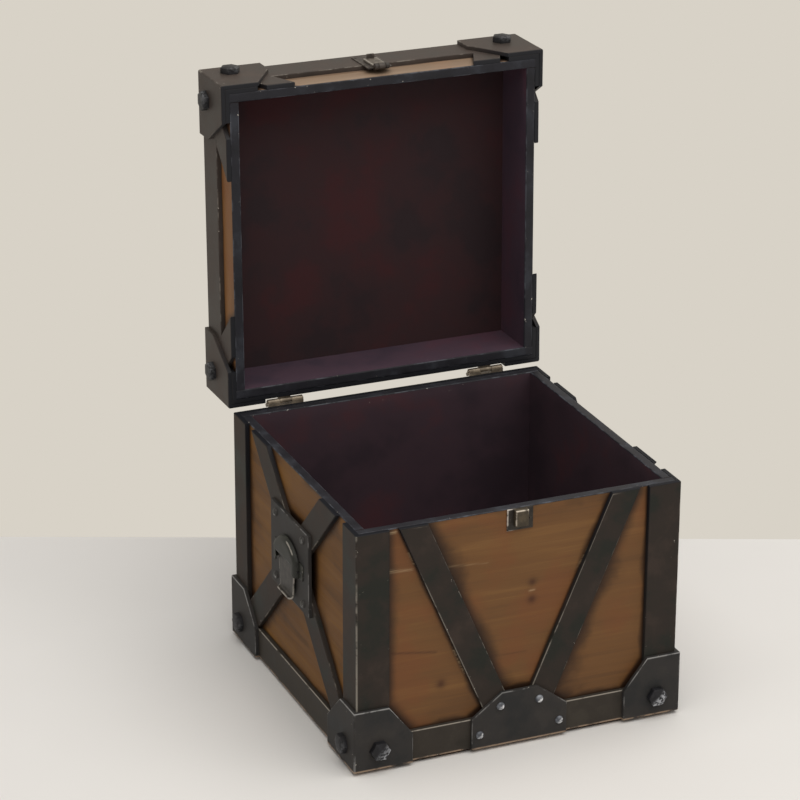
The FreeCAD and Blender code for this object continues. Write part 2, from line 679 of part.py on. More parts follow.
def hinge_pieces():
    """The hinge leaves and pins that stay with the body."""
    pieces = {}
    for name, sign in (("left", 1), ("right", -1)):
        pieces[name + "_hinge_body_leaf"] = hinge_body_leaf(sign * HINGE_SPREAD)
    pieces["hinge_pins"] = group([hinge_pin(sign * HINGE_SPREAD) for sign in (1, -1)])
    return pieces


def main():
    """Build every piece, lid open, and write each one to a file of its own."""
    pieces = body_pieces()
    pieces.update(handle_pieces())
    pieces.update(hinge_pieces())
    pieces["latch_catch"] = latch_catch()
    pieces.update({name: opened(shape) for name, shape in lid_pieces().items()})
    os.makedirs("parts", exist_ok=True)
    for name, shape in pieces.items():
        shape.exportStep("parts/" + name + ".step")


main()
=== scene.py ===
import json
import logging
from dataclasses import dataclass, field, replace
from enum import Enum
from functools import cache, partial
from typing import Callable, Optional

import bmesh
import bpy
import numpy as np
from mathutils import Matrix, Vector


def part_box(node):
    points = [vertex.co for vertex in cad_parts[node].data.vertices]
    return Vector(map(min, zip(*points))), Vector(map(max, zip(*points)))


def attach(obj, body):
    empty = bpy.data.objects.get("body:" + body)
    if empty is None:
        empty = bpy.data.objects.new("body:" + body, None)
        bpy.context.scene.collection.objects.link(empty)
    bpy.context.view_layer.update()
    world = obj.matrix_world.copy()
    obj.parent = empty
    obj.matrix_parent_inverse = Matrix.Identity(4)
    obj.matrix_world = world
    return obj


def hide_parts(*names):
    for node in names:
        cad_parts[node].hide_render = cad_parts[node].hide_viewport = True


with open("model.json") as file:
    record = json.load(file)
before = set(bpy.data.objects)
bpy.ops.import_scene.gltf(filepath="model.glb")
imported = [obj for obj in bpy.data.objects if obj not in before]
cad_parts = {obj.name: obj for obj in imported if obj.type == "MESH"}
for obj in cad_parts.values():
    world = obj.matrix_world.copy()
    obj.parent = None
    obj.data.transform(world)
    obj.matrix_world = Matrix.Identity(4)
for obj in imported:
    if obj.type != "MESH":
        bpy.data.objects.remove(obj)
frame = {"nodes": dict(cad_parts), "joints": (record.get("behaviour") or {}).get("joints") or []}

# A square wooden storage box with its lid standing open: pine boards, painted straps, bolted corner
# brackets, side pulls, hinges and a hasp latch. Sizes are millimetres and become metres in a mesh.

LOG = logging.getLogger("storage_box")
MM = 0.001
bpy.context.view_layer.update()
Array = np.ndarray
Place = Callable[[Array, Array, Array], Array]
AddNode = Callable[..., bpy.types.Node]

# The driving sizes of the boards, read from the frame
HALF_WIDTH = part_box("front_panel")[1].x / MM
HALF_DEPTH = -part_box("front_panel")[0].y / MM
BODY_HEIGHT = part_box("front_panel")[1].z / MM
BOARD = HALF_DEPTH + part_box("front_panel")[1].y / MM
BASE_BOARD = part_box("bottom_board")[1].z / MM


class LidPose:
    """The turn that takes the lid from shut to where it stands open, read from the lid's joint."""

    def __init__(self) -> None:
        """Reads the hinge's axis and the lid's travel."""
        joint = next(row for row in frame["joints"] if row["name"] == "lid_hinge")
        self.pivot = np.array(joint["pos_m"]) / MM
        self.angle = np.radians(joint["range_deg"][1])

    def turned(self, points: Array, angle: float) -> Array:
        """Turns points about the hinge's axis, which runs along X.

        Args:
            points: places in millimetres, last axis x, y, z.
            angle: radians, positive from the back towards the top.

        Returns:
            The turned places.
        """
        y, z = points[..., 1] - self.pivot[1], points[..., 2] - self.pivot[2]
        cos, sin = np.cos(angle), np.sin(angle)
        turned = [points[..., 0], self.pivot[1] + y * cos - z * sin, self.pivot[2] + y * sin + z * cos]
        return np.stack(turned, axis=-1)

    def opened(self, points: Array) -> Array:
        """Swings shut places open."""
        return self.turned(points, -self.angle)

    def shut_box(self, node: str) -> tuple[Array, Array]:
        """Measures a lid node as it is when the lid is shut.

        Args:
            node: the node's name.

        Returns:
            Its lowest and its highest corner in millimetres.
        """
        corners = np.array([vertex.co for vertex in frame["nodes"][node].data.vertices]) / MM
        corners = self.turned(corners, self.angle)
        return corners.min(axis=0), corners.max(axis=0)


LID = LidPose()
LID_RIM = LID.shut_box("lid_front_wall")[0][2]
LID_TOP = LID.shut_box("lid_top_board")[1][2]
TOP_BOARD = LID_TOP - LID.shut_box("lid_top_board")[0][2]


class Wall(Enum):
    """The four outer faces: the direction to the right as seen from outside, and the direction out."""

    FRONT = ((1, 0), (0, -1))
    BACK = ((-1, 0), (0, 1))
    LEFT = ((0, -1), (-1, 0))
    RIGHT = ((0, 1), (1, 0))

    @property
    def label(self) -> str:
        """The face's name in the names of nodes."""
        return self.name.lower()

    @property
    def wide(self) -> bool:
        """Whether the face is the front or the back."""
        return self in (Wall.FRONT, Wall.BACK)

    @property
    def half(self) -> float:
        """Half the length of the face."""
        return HALF_WIDTH if self.wide else HALF_DEPTH

    @property
    def reach(self) -> float:
        """How far the face stands from the middle of the box."""
        return HALF_DEPTH if self.wide else HALF_WIDTH

    def place(self, u: Array, v: Array, o: Array) -> Array:
        """Puts face places into the box: u along the face, v above the floor, o out of the board.

        Args:
            u: distance to the right of the middle.
            v: height above the floor.
            o: distance out of the board's face.

        Returns:
            Places x, y, z in millimetres.
        """
        u, v, o = np.broadcast_arrays(u, v, o)
        along, out = np.array(self.value[0]), np.array(self.value[1])
        flat = u[..., None] * along + (self.reach + o)[..., None] * out
        return np.concatenate([flat, v[..., None]], axis=-1)


class Grain(Enum):
    """The axis that the fibres of a board run along."""

    X = 0
    Y = 1
    Z = 2


# Finishes


def linear(colour: str) -> tuple[float, float, float, float]:
    """Turns a colour into linear light by the sRGB curve.

    Args:
        colour: an sRGB hex colour.

    Returns:
        Linear red, green and blue, and an alpha of 1.
    """
    parts = np.array([int(colour[i:i + 2], 16) for i in (1, 3, 5)]) / 255
    parts = np.where(parts <= 0.04045, parts / 12.92, ((parts + 0.055) / 1.055) ** 2.4)
    return (*(float(part) for part in parts), 1.0)


def per_metre(*sizes: float) -> tuple:
    """Turns a pattern's sizes in millimetres, one for all axes or three, into a scale on Object places."""
    return tuple(1 / (MM * size) for size in (sizes if len(sizes) > 1 else sizes * 3))


def add_node(tree: bpy.types.NodeTree, kind: str, inputs: object = (),
             **settings: object) -> bpy.types.Node:
    """Adds one node with its settings, constants and links.

    Args:
        tree: the node tree.
        kind: the node's type without its ShaderNode prefix.
        inputs: values in the order of the sockets, or by socket name or number; a value is a constant,
            a hex colour, a socket, or a node whose first enabled output is taken.
        settings: properties of the node.

    Returns:
        The new node.
    """
    node = tree.nodes.new("ShaderNode" + kind)
    for key, value in settings.items():
        setattr(node, key, value)
    for key, value in inputs.items() if isinstance(inputs, dict) else enumerate(inputs):
        if isinstance(value, bpy.types.Node):
            value = next(socket for socket in value.outputs if socket.enabled)
        if isinstance(value, bpy.types.NodeSocket):
            tree.links.new(value, node.inputs[key])
        else:
            node.inputs[key].default_value = linear(value) if isinstance(value, str) else value
    return node


SMOOTH = {"interpolation_type": "SMOOTHSTEP"}
# The sockets of a Mix node that mixes colours
MIX_SHARE, MIX_BELOW, MIX_ABOVE = 0, 6, 7
# Noise lies mostly in the narrow span and seldom leaves the wide one
NARROW, WIDE = (0.35, 0.65), (0.3, 0.7)
# Heights below the floor, so that no bare foot shows
NO_FOOT = (-2.0, -1.0)


@dataclass(frozen=True)
class Finish:
    """A finish whose material is made once."""

    name: str

    def surface(self, add: AddNode, place: bpy.types.NodeSocket) -> dict:
        """Builds the pattern.

        Args:
            add: adds a node to the material.
            place: Object coordinates.

        Returns:
            The inputs of the Principled surface. Its colour is a list of layers: the lowest colour, then
            pairs of a share and the colour that lies over it.
        """
        raise NotImplementedError

    @cache
    def make(self) -> bpy.types.Material:
        """Builds the material, with its layers of colour mixed one over another.

        Returns:
            The material.
        """
        material = bpy.data.materials.new(self.name)
        material.use_nodes = True
        material.node_tree.nodes.clear()
        add = partial(add_node, material.node_tree)
        inputs = self.surface(add, add("TexCoord").outputs["Object"])
        colour, *layers = inputs["Base Color"]
        for share, above in layers:
            colour = add("Mix", {MIX_SHARE: share, MIX_BELOW: colour, MIX_ABOVE: above}, data_type="RGBA")
        principled = add("BsdfPrincipled", {**inputs, "Base Color": colour})
        add("OutputMaterial", {"Surface": principled})
        return material


@dataclass(frozen=True)
class StainedPine(Finish):
    """Planed pine, stained brown, then rubbed with dark wax that stays beside the straps, where shade is
    painted in too.

    The eye sees soft streaks along the grain, redder clouds, a satin sheen, and boards that darken towards
    their straps, with wax and painted shade.
    """

    grain: Grain
    pale: str = "#7b5731"
    brown: str = "#6d4b2a"
    dark: str = "#634427"
    blush: str = "#774426"
    # The colour of the dark wax, and of the shade painted beside the straps
    wax_and_shade: str = "#20130d"
    knot: str = "#3a1d12"
    scratch: str = "#d9bd95"
    fibre_mm: tuple = (70.0, 1.8)
    ring_mm: tuple = (240.0, 16.0)
    cloud_mm: float = 42.0
    ring_share: float = 0.65
    brown_tones: tuple = (0.34, 0.52)
    pale_tones: tuple = (0.5, 0.72)
    blush_tones: tuple = (0.47, 0.66)
    blush_share: float = 0.38
    # How far from a cover the wax and painted shade reach, how dark they get, and how clouds stretch them
    wax_and_shade_mm: tuple = (-2.0, 20.0)
    wax_and_shade_share: float = 0.92
    wax_and_shade_spread: tuple = (0.8, 2.2)
    torn_tones: tuple = (0.38, 0.58)
    relief_mm: float = 0.1
    roughness: tuple = (0.46, 0.6)
    sheen: float = 0.25

    def along(self, length: float, width: float) -> tuple:
        """Gives the scale of features that are long along the grain."""
        return per_metre(*(length if axis is self.grain else width for axis in Grain))

    def surface(self, add: AddNode, place: bpy.types.NodeSocket) -> dict:
        """Builds fine fibres over broad growth rings, darkened beside the straps by wax and painted shade.

        Args:
            add: adds a node to the material.
            place: Object coordinates.

        Returns:
            The inputs of the Principled surface.
        """
        fibres = add("Mapping", {"Vector": place, "Scale": self.along(*self.fibre_mm)})
        fibre = add("TexNoise", {"Vector": fibres, "Scale": 1.0, "Detail": 5.0, "Roughness": 0.65})
        rings = add("Mapping", {"Vector": place, "Scale": self.along(*self.ring_mm)})
        ring = add("TexNoise", {"Vector": rings, "Scale": 1.0, "Detail": 3.0, "Distortion": 0.7})
        clouds = add("Mapping", {"Vector": place, "Scale": per_metre(self.cloud_mm)})
        cloud = add("TexNoise", {"Vector": clouds, "Scale": 1.0, "Detail": 3.0})
        part = add("Math", (ring, self.ring_share), operation="MULTIPLY")
        tone = add("Math", (fibre, 1 - self.ring_share, part), operation="MULTIPLY_ADD")
        cover, knot, scratch = (add("Attribute", attribute_name=name).outputs["Fac"]
                                for name in ("cover_mm", "knot", "scratch"))
        spread = add("MapRange", (cloud, *NARROW, *self.wax_and_shade_spread))
        away = add("Math", (cover, spread), operation="MULTIPLY")
        ragged = add("MapRange", (fibre, *self.torn_tones))
        layers = [
            self.dark,
            (add("MapRange", (tone, *self.brown_tones), **SMOOTH), self.brown),
            (add("MapRange", (tone, *self.pale_tones), **SMOOTH), self.pale),
            (add("MapRange", (cloud, *self.blush_tones, 0.0, self.blush_share), **SMOOTH), self.blush),
            # Wax and painted shade, darkest where the stretched distance to a cover is short
            (add("MapRange", (away, *self.wax_and_shade_mm, self.wax_and_shade_share, 0.0), **SMOOTH), self.wax_and_shade),
            (knot, self.knot),
            (add("Math", (scratch, ragged), operation="MULTIPLY"), self.scratch),
        ]
        relief = add("Bump", {"Height": fibre, "Distance": self.relief_mm * MM, "Strength": 1.0})
        rough = add("MapRange", (fibre, *WIDE, *self.roughness))
        return {"Base Color": layers, "Roughness": rough, "Normal": relief, "Specular IOR Level": self.sheen}


@dataclass(frozen=True)
class WornPaint(Finish):
    """Matt brushed paint on wood or plate, rubbed pale along some edges and chipped here and there.

    The eye sees a clouded dark tone with thin broken bright lines on the edges, some of them painted
    highlights on upper edges, and bare wood at the foot.
    """

    colour: str
    deep: str
    light: str
    rim: str = "#1a1b20"
    rub: str = "#8d877e"
    chip: str = "#d5cec2"
    bare: str = "#a08a76"
    patch_mm: float = 26.0
    rub_patch_mm: float = 14.0
    chip_mm: float = 3.0
    speck_mm: float = 1.6
    foot_mm: tuple = (3.8, 5.2)
    colour_tones: tuple = (0.34, 0.51)
    light_tones: tuple = (0.51, 0.68)
    line_reach: tuple = (0.76, 0.98)
    rub_tones: tuple = (0.47, 0.62)
    rub_share: float = 0.55
    wear_and_glint_reach: float = 0.16
    wear_and_glint_share: float = 0.35
    chip_reach: tuple = (0.4, 0.85)
    chip_tones: tuple = (0.69, 0.73)
    bare_tones: tuple = (0.35, 0.55)
    relief_mm: float = 0.06
    roughness: float = 0.52
    rough_spread: tuple = (-0.06, 0.1)
    sheen: float = 0.3

    def surface(self, add: AddNode, place: bpy.types.NodeSocket) -> dict:
        """Builds clouded paint, the rim's own paint, rubbed lines on the edges, brighter where the mesh marks
        wear or a painted highlight, and small chips near them.

        Args:
            add: adds a node to the material.
            place: Object coordinates.

        Returns:
            The inputs of the Principled surface.
        """
        sizes = (self.patch_mm, self.rub_patch_mm, self.chip_mm, self.speck_mm)
        scaled = [add("Mapping", {"Vector": place, "Scale": per_metre(size)}) for size in sizes]
        cloud, patch, chips, speck = (
            add("TexNoise", {"Vector": vector, "Scale": 1.0, "Detail": 4.0, "Roughness": 0.6})
            for vector in scaled)
        sawn, near, wear = (add("Attribute", attribute_name=name).outputs["Fac"]
                            for name in ("rim", "edge", "wear"))
        # Where the mesh marks wear or a painted highlight, the rubbed lines reach further and show more
        reach = add("Math", (wear, self.wear_and_glint_reach, patch), operation="MULTIPLY_ADD")
        share = add("Math", (wear, self.wear_and_glint_share, self.rub_share), operation="MULTIPLY_ADD")
        line = add("MapRange", (near, *self.line_reach), **SMOOTH)
        broken = add("MapRange", (reach, *self.rub_tones, 0.0, share), **SMOOTH)
        close = add("MapRange", (near, *self.chip_reach), **SMOOTH)
        spots = add("MapRange", (chips, *self.chip_tones), **SMOOTH)
        low, high = (size * MM for size in self.foot_mm)
        height = add("SeparateXYZ", (place,)).outputs["Z"]
        foot = add("MapRange", (height, low, high, 1.0, 0.0), **SMOOTH)
        worn = add("MapRange", (patch, *self.bare_tones), **SMOOTH)
        layers = [
            self.deep,
            (add("MapRange", (cloud, *self.colour_tones), **SMOOTH), self.colour),
            (add("MapRange", (cloud, *self.light_tones), **SMOOTH), self.light),
            (sawn, self.rim),
            (add("Math", (line, broken), operation="MULTIPLY"), self.rub),
            (add("Math", (close, spots), operation="MULTIPLY"), self.chip),
            (add("Math", (foot, worn), operation="MULTIPLY"), self.bare),
        ]
        relief = add("Bump", {"Height": speck, "Distance": self.relief_mm * MM, "Strength": 1.0})
        rough = add("MapRange", (cloud, *WIDE, *(self.roughness + step for step in self.rough_spread)))
        return {"Base Color": layers, "Roughness": rough, "Normal": relief, "Specular IOR Level": self.sheen}


@dataclass(frozen=True)
class RubbedMetal(Finish):
    """Metal with a dark patina that is rubbed through to bright metal on its edges and high places.

    The eye sees a mottled dull tone with small bright glints: rubbed metal, and painted highlights where the
    mesh marks scuffs.
    """

    patina: str
    deep: str
    bright: str
    bright_share: float = 0.7
    patch_mm: float = 5.0
    speck_mm: float = 2.2
    edge_reach: tuple = (0.6, 0.97)
    rub_tones: tuple = (0.34, 0.54)
    scuff_and_glint_tones: tuple = (0.4, 0.6)
    relief_mm: float = 0.05
    metallic: float = 0.85
    roughness: tuple = (0.52, 0.3)

    def surface(self, add: AddNode, place: bpy.types.NodeSocket) -> dict:
        """Builds mottled patina that is bright where the mesh says that it is rubbed, or scuffed with a
        painted glint.

        Args:
            add: adds a node to the material.
            place: Object coordinates.

        Returns:
            The inputs of the Principled surface.
        """
        scaled = [add("Mapping", {"Vector": place, "Scale": per_metre(size)})
                  for size in (self.patch_mm, self.speck_mm)]
        cloud, speck = (add("TexNoise", {"Vector": vector, "Scale": 1.0, "Detail": 4.0}) for vector in scaled)
        edge, scuff = (add("Attribute", attribute_name=name).outputs["Fac"] for name in ("edge", "scuff"))
        near = add("MapRange", (edge, *self.edge_reach), **SMOOTH)
        bare = add("MapRange", (cloud, *self.rub_tones), **SMOOTH)
        rubbed = add("Math", (near, bare), operation="MULTIPLY")
        # Scuffs and painted glints where the mesh marks them
        rough_spots = add("MapRange", (speck, *self.scuff_and_glint_tones), **SMOOTH)
        scuffed_and_glinting = add("Math", (scuff, rough_spots), operation="MULTIPLY")
        shown = add("Math", (rubbed, scuffed_and_glinting), operation="MAXIMUM")
        share = add("Math", (shown, self.bright_share), operation="MULTIPLY")
        tone = add("MapRange", (cloud, *NARROW), **SMOOTH)
        rough = add("MapRange", (share, 0.0, 1.0, *self.roughness))
        relief = add("Bump", {"Height": speck, "Distance": self.relief_mm * MM, "Strength": 1.0})
        layers = [self.deep, (tone, self.patina), (share, self.bright)]
        return {"Base Color": layers, "Roughness": rough, "Normal": relief, "Metallic": self.metallic}


@dataclass(frozen=True)
class TableTop(Finish):
    """Pale matt laminate, clouded a little so that the eye doesn't see one flat tone."""

    colour: str = "#e6e4e2"
    shade: str = "#e1dfdd"
    cloud_mm: float = 160.0
    roughness: float = 0.8

    def surface(self, add: AddNode, place: bpy.types.NodeSocket) -> dict:
        """Builds a faint cloud between two pale tones.

        Args:
            add: adds a node to the material.
            place: Object coordinates.

        Returns:
            The inputs of the Principled surface.
        """
        scaled = add("Mapping", {"Vector": place, "Scale": per_metre(self.cloud_mm)})
        cloud = add("TexNoise", {"Vector": scaled, "Scale": 1.0, "Detail": 2.0})
        return {"Base Color": [self.shade, (cloud, self.colour)], "Roughness": self.roughness}


# Brush paint on wood straps: a brown black with slow clouds and thin pale lines on some edges
STRAP_PAINT = WornPaint(
    "charcoal_paint_on_wood_straps", "#342e2a", "#2a2b27", "#3e3530", patch_mm=36.0, sheen=0.1)
# The same paint on the rails, painted lighter and greyer for the light that the table throws up onto them,
# with paler lines on the edges
RAIL_PAINT = WornPaint("charcoal_paint_on_rails", "#3c3732", "#35312c", "#433e38", rub="#a19a90", sheen=0.1)
# Brush paint on plates: a cooler near-black with fine grey lines on the edges
PLATE_PAINT = WornPaint(
    "charcoal_paint_on_plates", "#373534", "#303030", "#3d3a38", rub="#a3a2a1", rub_share=0.4, sheen=0.1)
# Brush paint on the lid, painted lighter to a warm grey with more sheen: painted light, as the lid's bands
# and brackets face up while it stands open
LID_PAINT = WornPaint("charcoal_paint_on_lid_painted_lighter", "#3c3430", "#332d29", "#453c37", sheen=0.25)
# Thick paint on pressed iron: small dark clouds and a thin bright line on one shoulder, a painted highlight
# where light catches the crest
HOOD_PAINT = WornPaint(
    "charcoal_paint_on_iron_hoods", "#272824", "#1b1c19", "#34352f", rub="#98938b", patch_mm=9.0,
    rub_patch_mm=6.0)
# Brush paint on sawn rims: a cool blue black with a faint grey edge
RIM_PAINT = WornPaint(
    "blue_black_paint_on_rims", "#232329", "#1c1c21", "#32343b", rub="#787c86", rub_share=0.3, sheen=0.25)
# Dull brush paint inside the lid: broad, faint red clouds
INSIDE_PAINT = WornPaint(
    "maroon_paint_inside", "#321f22", "#281c20", "#3c1f22", rub_share=0.0, patch_mm=58.0, foot_mm=NO_FOOT,
    roughness=0.8, sheen=0.25)
# Brush paint on the inner walls: the inside's maroon turned plum and paler by a painted purple sheen, with
# some real sheen as well
INNER_WALL_PAINT = WornPaint(
    "plum_paint_on_inner_walls", "#3a2932", "#30232c", "#47282f", rub_share=0.0, patch_mm=75.0,
    foot_mm=NO_FOOT, roughness=0.7, sheen=0.4)
# The lid's walls, a little paler and bluer still: painted light and a painted bluish reflection
LID_WALL_PAINT = replace(
    INNER_WALL_PAINT, name="plum_paint_on_lid_walls", colour="#44323f", deep="#392d3a", light="#4c303d")
# The floor, darker than the lid
FLOOR_PAINT = replace(
    INSIDE_PAINT, name="maroon_paint_on_floor", colour="#24191c", deep="#1d1719", light="#2c191c")
# Blackened iron: a dark blue tone with bright scuffs and painted glints
BOLT_IRON = RubbedMetal("iron_bolts_blackened", "#232328", "#17171b", "#c9ccd2", metallic=0.4)
# Bare steel, scuffed, with painted glints for its highlights: the brightest spots on the box
RIVET_STEEL = RubbedMetal(
    "steel_rivets_scuffed", "#80848c", "#4c4f56", "#f2f3f6", bright_share=0.95, metallic=0.6)
# Steel painted over with its plate: dark, with a painted glint at the lower right
RIVET_DARK = RubbedMetal(
    "steel_rivets_painted_over", "#3d3b39", "#2b2a29", "#d5d4d2", bright_share=0.6, metallic=0.3)
# Stamped brass, aged to a mottled grey yellow, with scuffed screw heads that carry a painted glint
HINGE_BRASS = RubbedMetal("brass_hinges_aged", "#8c8172", "#695f53", "#e3dacb", patch_mm=8.0, metallic=0.6)
# Antiqued bronze: dark brown and hardly rubbed
LATCH_BRONZE = RubbedMetal(
    "bronze_latch_antiqued", "#3c342f", "#28221f", "#a89e94", bright_share=0.14, metallic=0.25)
# Bronze that fingers have rubbed to a pale grey brown
HASP_BRONZE = RubbedMetal(
    "bronze_hasp_rubbed", "#746d65", "#544d46", "#d3ccc3", bright_share=0.45, metallic=0.5)
# Antiqued bronze sheet: near-black with one bright edge, a painted highlight
CATCH_BRONZE = RubbedMetal(
    "bronze_catch_antiqued", "#2f2922", "#201b16", "#e0d6cc", bright_share=0.75, metallic=0.3)
# Bronze block, rubbed to olive brown with two bright edges, painted highlights on its top and left
BLOCK_BRONZE = RubbedMetal(
    "bronze_catch_block_rubbed", "#514737", "#3d3529", "#ded3c4", bright_share=0.6, metallic=0.4)
# Bent iron sheet, aged: dull grey with a pale worn rim
PULL_IRON = RubbedMetal("iron_pulls_aged", "#3b3733", "#2a2725", "#c9c2b8", bright_share=0.5, metallic=0.3)
# Planed pine under brown stain and wax, with painted shade beside the straps: soft level streaks
FRONT_PINE = StainedPine("pine_stained_waxed_with_painted_shade_front", Grain.X)
# The side boards, whose clouds are golden
SIDE_PINE = StainedPine(
    "pine_stained_waxed_with_painted_shade_sides", Grain.Y, "#7a5529", "#6a4824", "#563a1d", blush="#7d5621", sheen=0.12)
# The lid's sides, cleaner and paler
LID_SIDE_PINE = StainedPine("pine_stained_waxed_lid_sides", Grain.Z, "#93693a", "#805832", "#6a4826")
# The lid's front, paler and greyer than the box's front
LID_FRONT_PINE = StainedPine(
    "pine_stained_paler_lid_front", Grain.X, "#96806d", "#826d5a", "#6b5747", blush="#8f6f58")


# Surfaces

# The distance over which rubbing fades from an edge
EDGE_FADE = 3.0
# A covered side faces right where its inward normal lies further left than this; beside it the wax and
# painted shade spread wide, as on a shadow side
FACING_RIGHT = -0.3
# A side whose normal rises less than this counts as upright
UPRIGHT = 1e-6
# Places on a plate's face behind its edge, and how far in they may lie as a share of the plate's width
LIPS, LIP_REACH = np.array([0.5, 2.0, 4.5, 9.0]), 0.42
# How far the middle of a quarter round lies in from its wall and out from its sharp corner, and how far a
# fold's lies from its sharp corner along both faces, all as shares of the radius
ROUND_DEPTH, ROUND_GAP, FOLD_GAP = 0.29, 0.4, 0.6
# How far the rim's paint reaches over a sawn end, and how much it dulls the end's rubbed edge
RIM_BAND, RIM_DULL = 0.9, 0.75
# How far wear and painted highlights reach in from an edge, as a share of the edge's radius
WEAR_AND_GLINT_REACH = 1.2
# A difference of height that counts as none
HAIR = 0.001
# Points closer than this are merged, in metres, and edges sharper than this angle are kept sharp
MERGE, SHARP = 1e-7, np.radians(38)


@dataclass
class Surface:
    """A mesh in the making: places in millimetres, faces, and values at the points."""

    points: Array
    quads: Array
    caps: list = field(default_factory=list)
    values: dict = field(default_factory=dict)
    finish: Optional[Array] = None

    def moved(self, mapping: Callable[[Array], Array]) -> "Surface":
        """Gives the same surface with its places mapped."""
        return replace(self, points=mapping(self.points))


def grid_quads(rows: int, columns: int, closed: bool) -> Array:
    """Gives the faces between neighbouring rows of a grid of points.

    Args:
        rows: number of rows.
        columns: points in a row.
        closed: whether the last point of a row joins the first.

    Returns:
        Point numbers, one row of four for each face.
    """
    across = columns if closed else columns - 1
    row, column = np.indices((rows - 1, across)).reshape(2, -1)
    right = (column + 1) % columns
    return np.stack([row * columns + column, row * columns + right, (row + 1) * columns + right,
                     (row + 1) * columns + column], axis=1)


def ladder_quads(columns: int, start: int = 0) -> Array:
    """Gives the faces that close a ring whose second half runs back along its first half."""
    step = np.arange(columns // 2 - 1)
    return start + np.stack([step, step + 1, columns - 2 - step, columns - 1 - step], axis=1)


def swept(points: Array, values: dict, ladder: bool = False) -> Surface:
    """Makes a closed surface of rings that follow each other, with the first and the last ring filled.

    Args:
        points: places: rings, places on a ring, and x, y, z.
        values: values at those places by name.
        ladder: whether a ring's second half runs back along its first, so that quads fill it.

    Returns:
        The closed surface.
    """
    rows, ring = points.shape[:2]
    last = (rows - 1) * ring
    quads = [grid_quads(rows, ring, True)]
    if ladder:
        quads += [ladder_quads(ring), ladder_quads(ring, last)]
    caps = [] if ladder else [list(range(ring)), list(range(last, last + ring))]
    flat = {name: np.broadcast_to(value, (rows, ring)).ravel() for name, value in values.items()}
    return Surface(points.reshape(-1, 3), np.concatenate(quads), caps, flat)


def quarter_round(radius: float, steps: int) -> tuple[Array, Array]:
    """Gives how far a quarter circle has come in from its wall and how far it still is below its face."""
    turn = np.linspace(0, np.pi / 2, steps)
    return radius * (1 - np.cos(turn)), radius * (1 - np.sin(turn))


def joined(surfaces: list[Surface]) -> Surface:
    """Puts several surfaces into one, as separate shells.

    Args:
        surfaces: the surfaces; a value that one of them lacks counts as 0 there.

    Returns:
        The one surface.
    """
    starts = np.cumsum([0] + [len(surface.points) for surface in surfaces])
    points = np.concatenate([surface.points for surface in surfaces])
    quads = np.concatenate([surface.quads + start for surface, start in zip(surfaces, starts)])
    caps = [[point + int(start) for point in cap]
            for surface, start in zip(surfaces, starts) for cap in surface.caps]
    names = sorted({name for surface in surfaces for name in surface.values})
    blank = [np.zeros(len(surface.points)) for surface in surfaces]
    values = {name: np.concatenate([surface.values.get(name, zero) for surface, zero in zip(surfaces, blank)])
              for name in names}
    return Surface(points, quads, caps, values)


def nearness(distance: Array) -> Array:
    """Turns a distance from an edge into a value that is 1 on the edge and fades over a few millimetres."""
    return np.exp(-np.clip(distance, 0, None) / EDGE_FADE)


def side_lines(outline: Array) -> tuple[Array, Array]:
    """Gives the lines that a convex outline's sides lie on.

    Args:
        outline: corners of the outline.

    Returns:
        The sides' inward normals, and each side's distance along its normal.
    """
    after = np.roll(outline, -1, axis=0)
    steps = after - outline
    turning = np.sum(outline[:, 0] * after[:, 1] - outline[:, 1] * after[:, 0])
    normals = np.sign(turning) * np.stack([-steps[:, 1], steps[:, 0]], axis=1)
    normals /= np.linalg.norm(normals, axis=1, keepdims=True)
    return normals, np.sum(normals * outline, axis=1)


def inset_reach(outline: Array, distances: Array) -> tuple[Array, Array]:
    """Gives how far left and right an outline reaches when its sides are moved in by each distance.

    Each corner of the smaller outline is where two neighbouring moved sides meet.

    Args:
        outline: corners of a convex outline.
        distances: how far the sides move in.

    Returns:
        The lowest and the highest first coordinate, one for each distance.
    """
    normals, offsets = side_lines(outline)
    pairs = np.stack([np.roll(normals, 1, axis=0), normals], axis=1)
    sides = np.stack([np.roll(offsets, 1), offsets], axis=1)
    corners = np.linalg.solve(pairs[None], (sides[None] + distances[:, None, None])[..., None])[..., 0, 0]
    return corners.min(axis=1), corners.max(axis=1)


def outline_distance(outline: list, u: Array, v: Array, crisp: float) -> Array:
    """Gives how far places lie outside a convex outline, negative inside.

    Args:
        outline: corners of the outline.
        u: places along the face.
        v: heights above the floor.
        crisp: how many times the distance counts beside a side that doesn't face right, which keeps the wax
            and painted shade narrow there.

    Returns:
        The distances, the largest over the sides.
    """
    normals, offsets = side_lines(np.array(outline, float))
    outside = offsets - u[..., None] * normals[:, 0] - v[..., None] * normals[:, 1]
    return (np.where(normals[:, 0] < FACING_RIGHT, 1, crisp) * outside).max(axis=-1)


def clip(outline: list, normal: Array, offset: float) -> list:
    """Cuts a convex outline by a line.

    Args:
        outline: corners of the outline.
        normal: the line's normal, which points to the side that is kept.
        offset: the line's distance along its normal.

    Returns:
        The corners that are kept, with those on the line.
    """
    kept = []
    for (u0, v0), (u1, v1) in zip(outline, outline[1:] + outline[:1]):
        first, last = (normal[0] * u + normal[1] * v - offset for u, v in ((u0, v0), (u1, v1)))
        if first >= 0:
            kept.append((u0, v0))
        if first * last < 0:
            share = first / (first - last)
            kept.append((u0 + share * (u1 - u0), v0 + share * (v1 - v0)))
    return kept


def rectangle(u0: float, u1: float, v0: float, v1: float) -> list:
    """Gives the corners of an upright rectangle."""
    return [(u0, v0), (u1, v0), (u1, v1), (u0, v1)]


def mirrored(outline: list) -> list:
    """Gives an outline and its mirror image about the middle of the face."""
    return [outline, [(-u, v) for u, v in outline]]


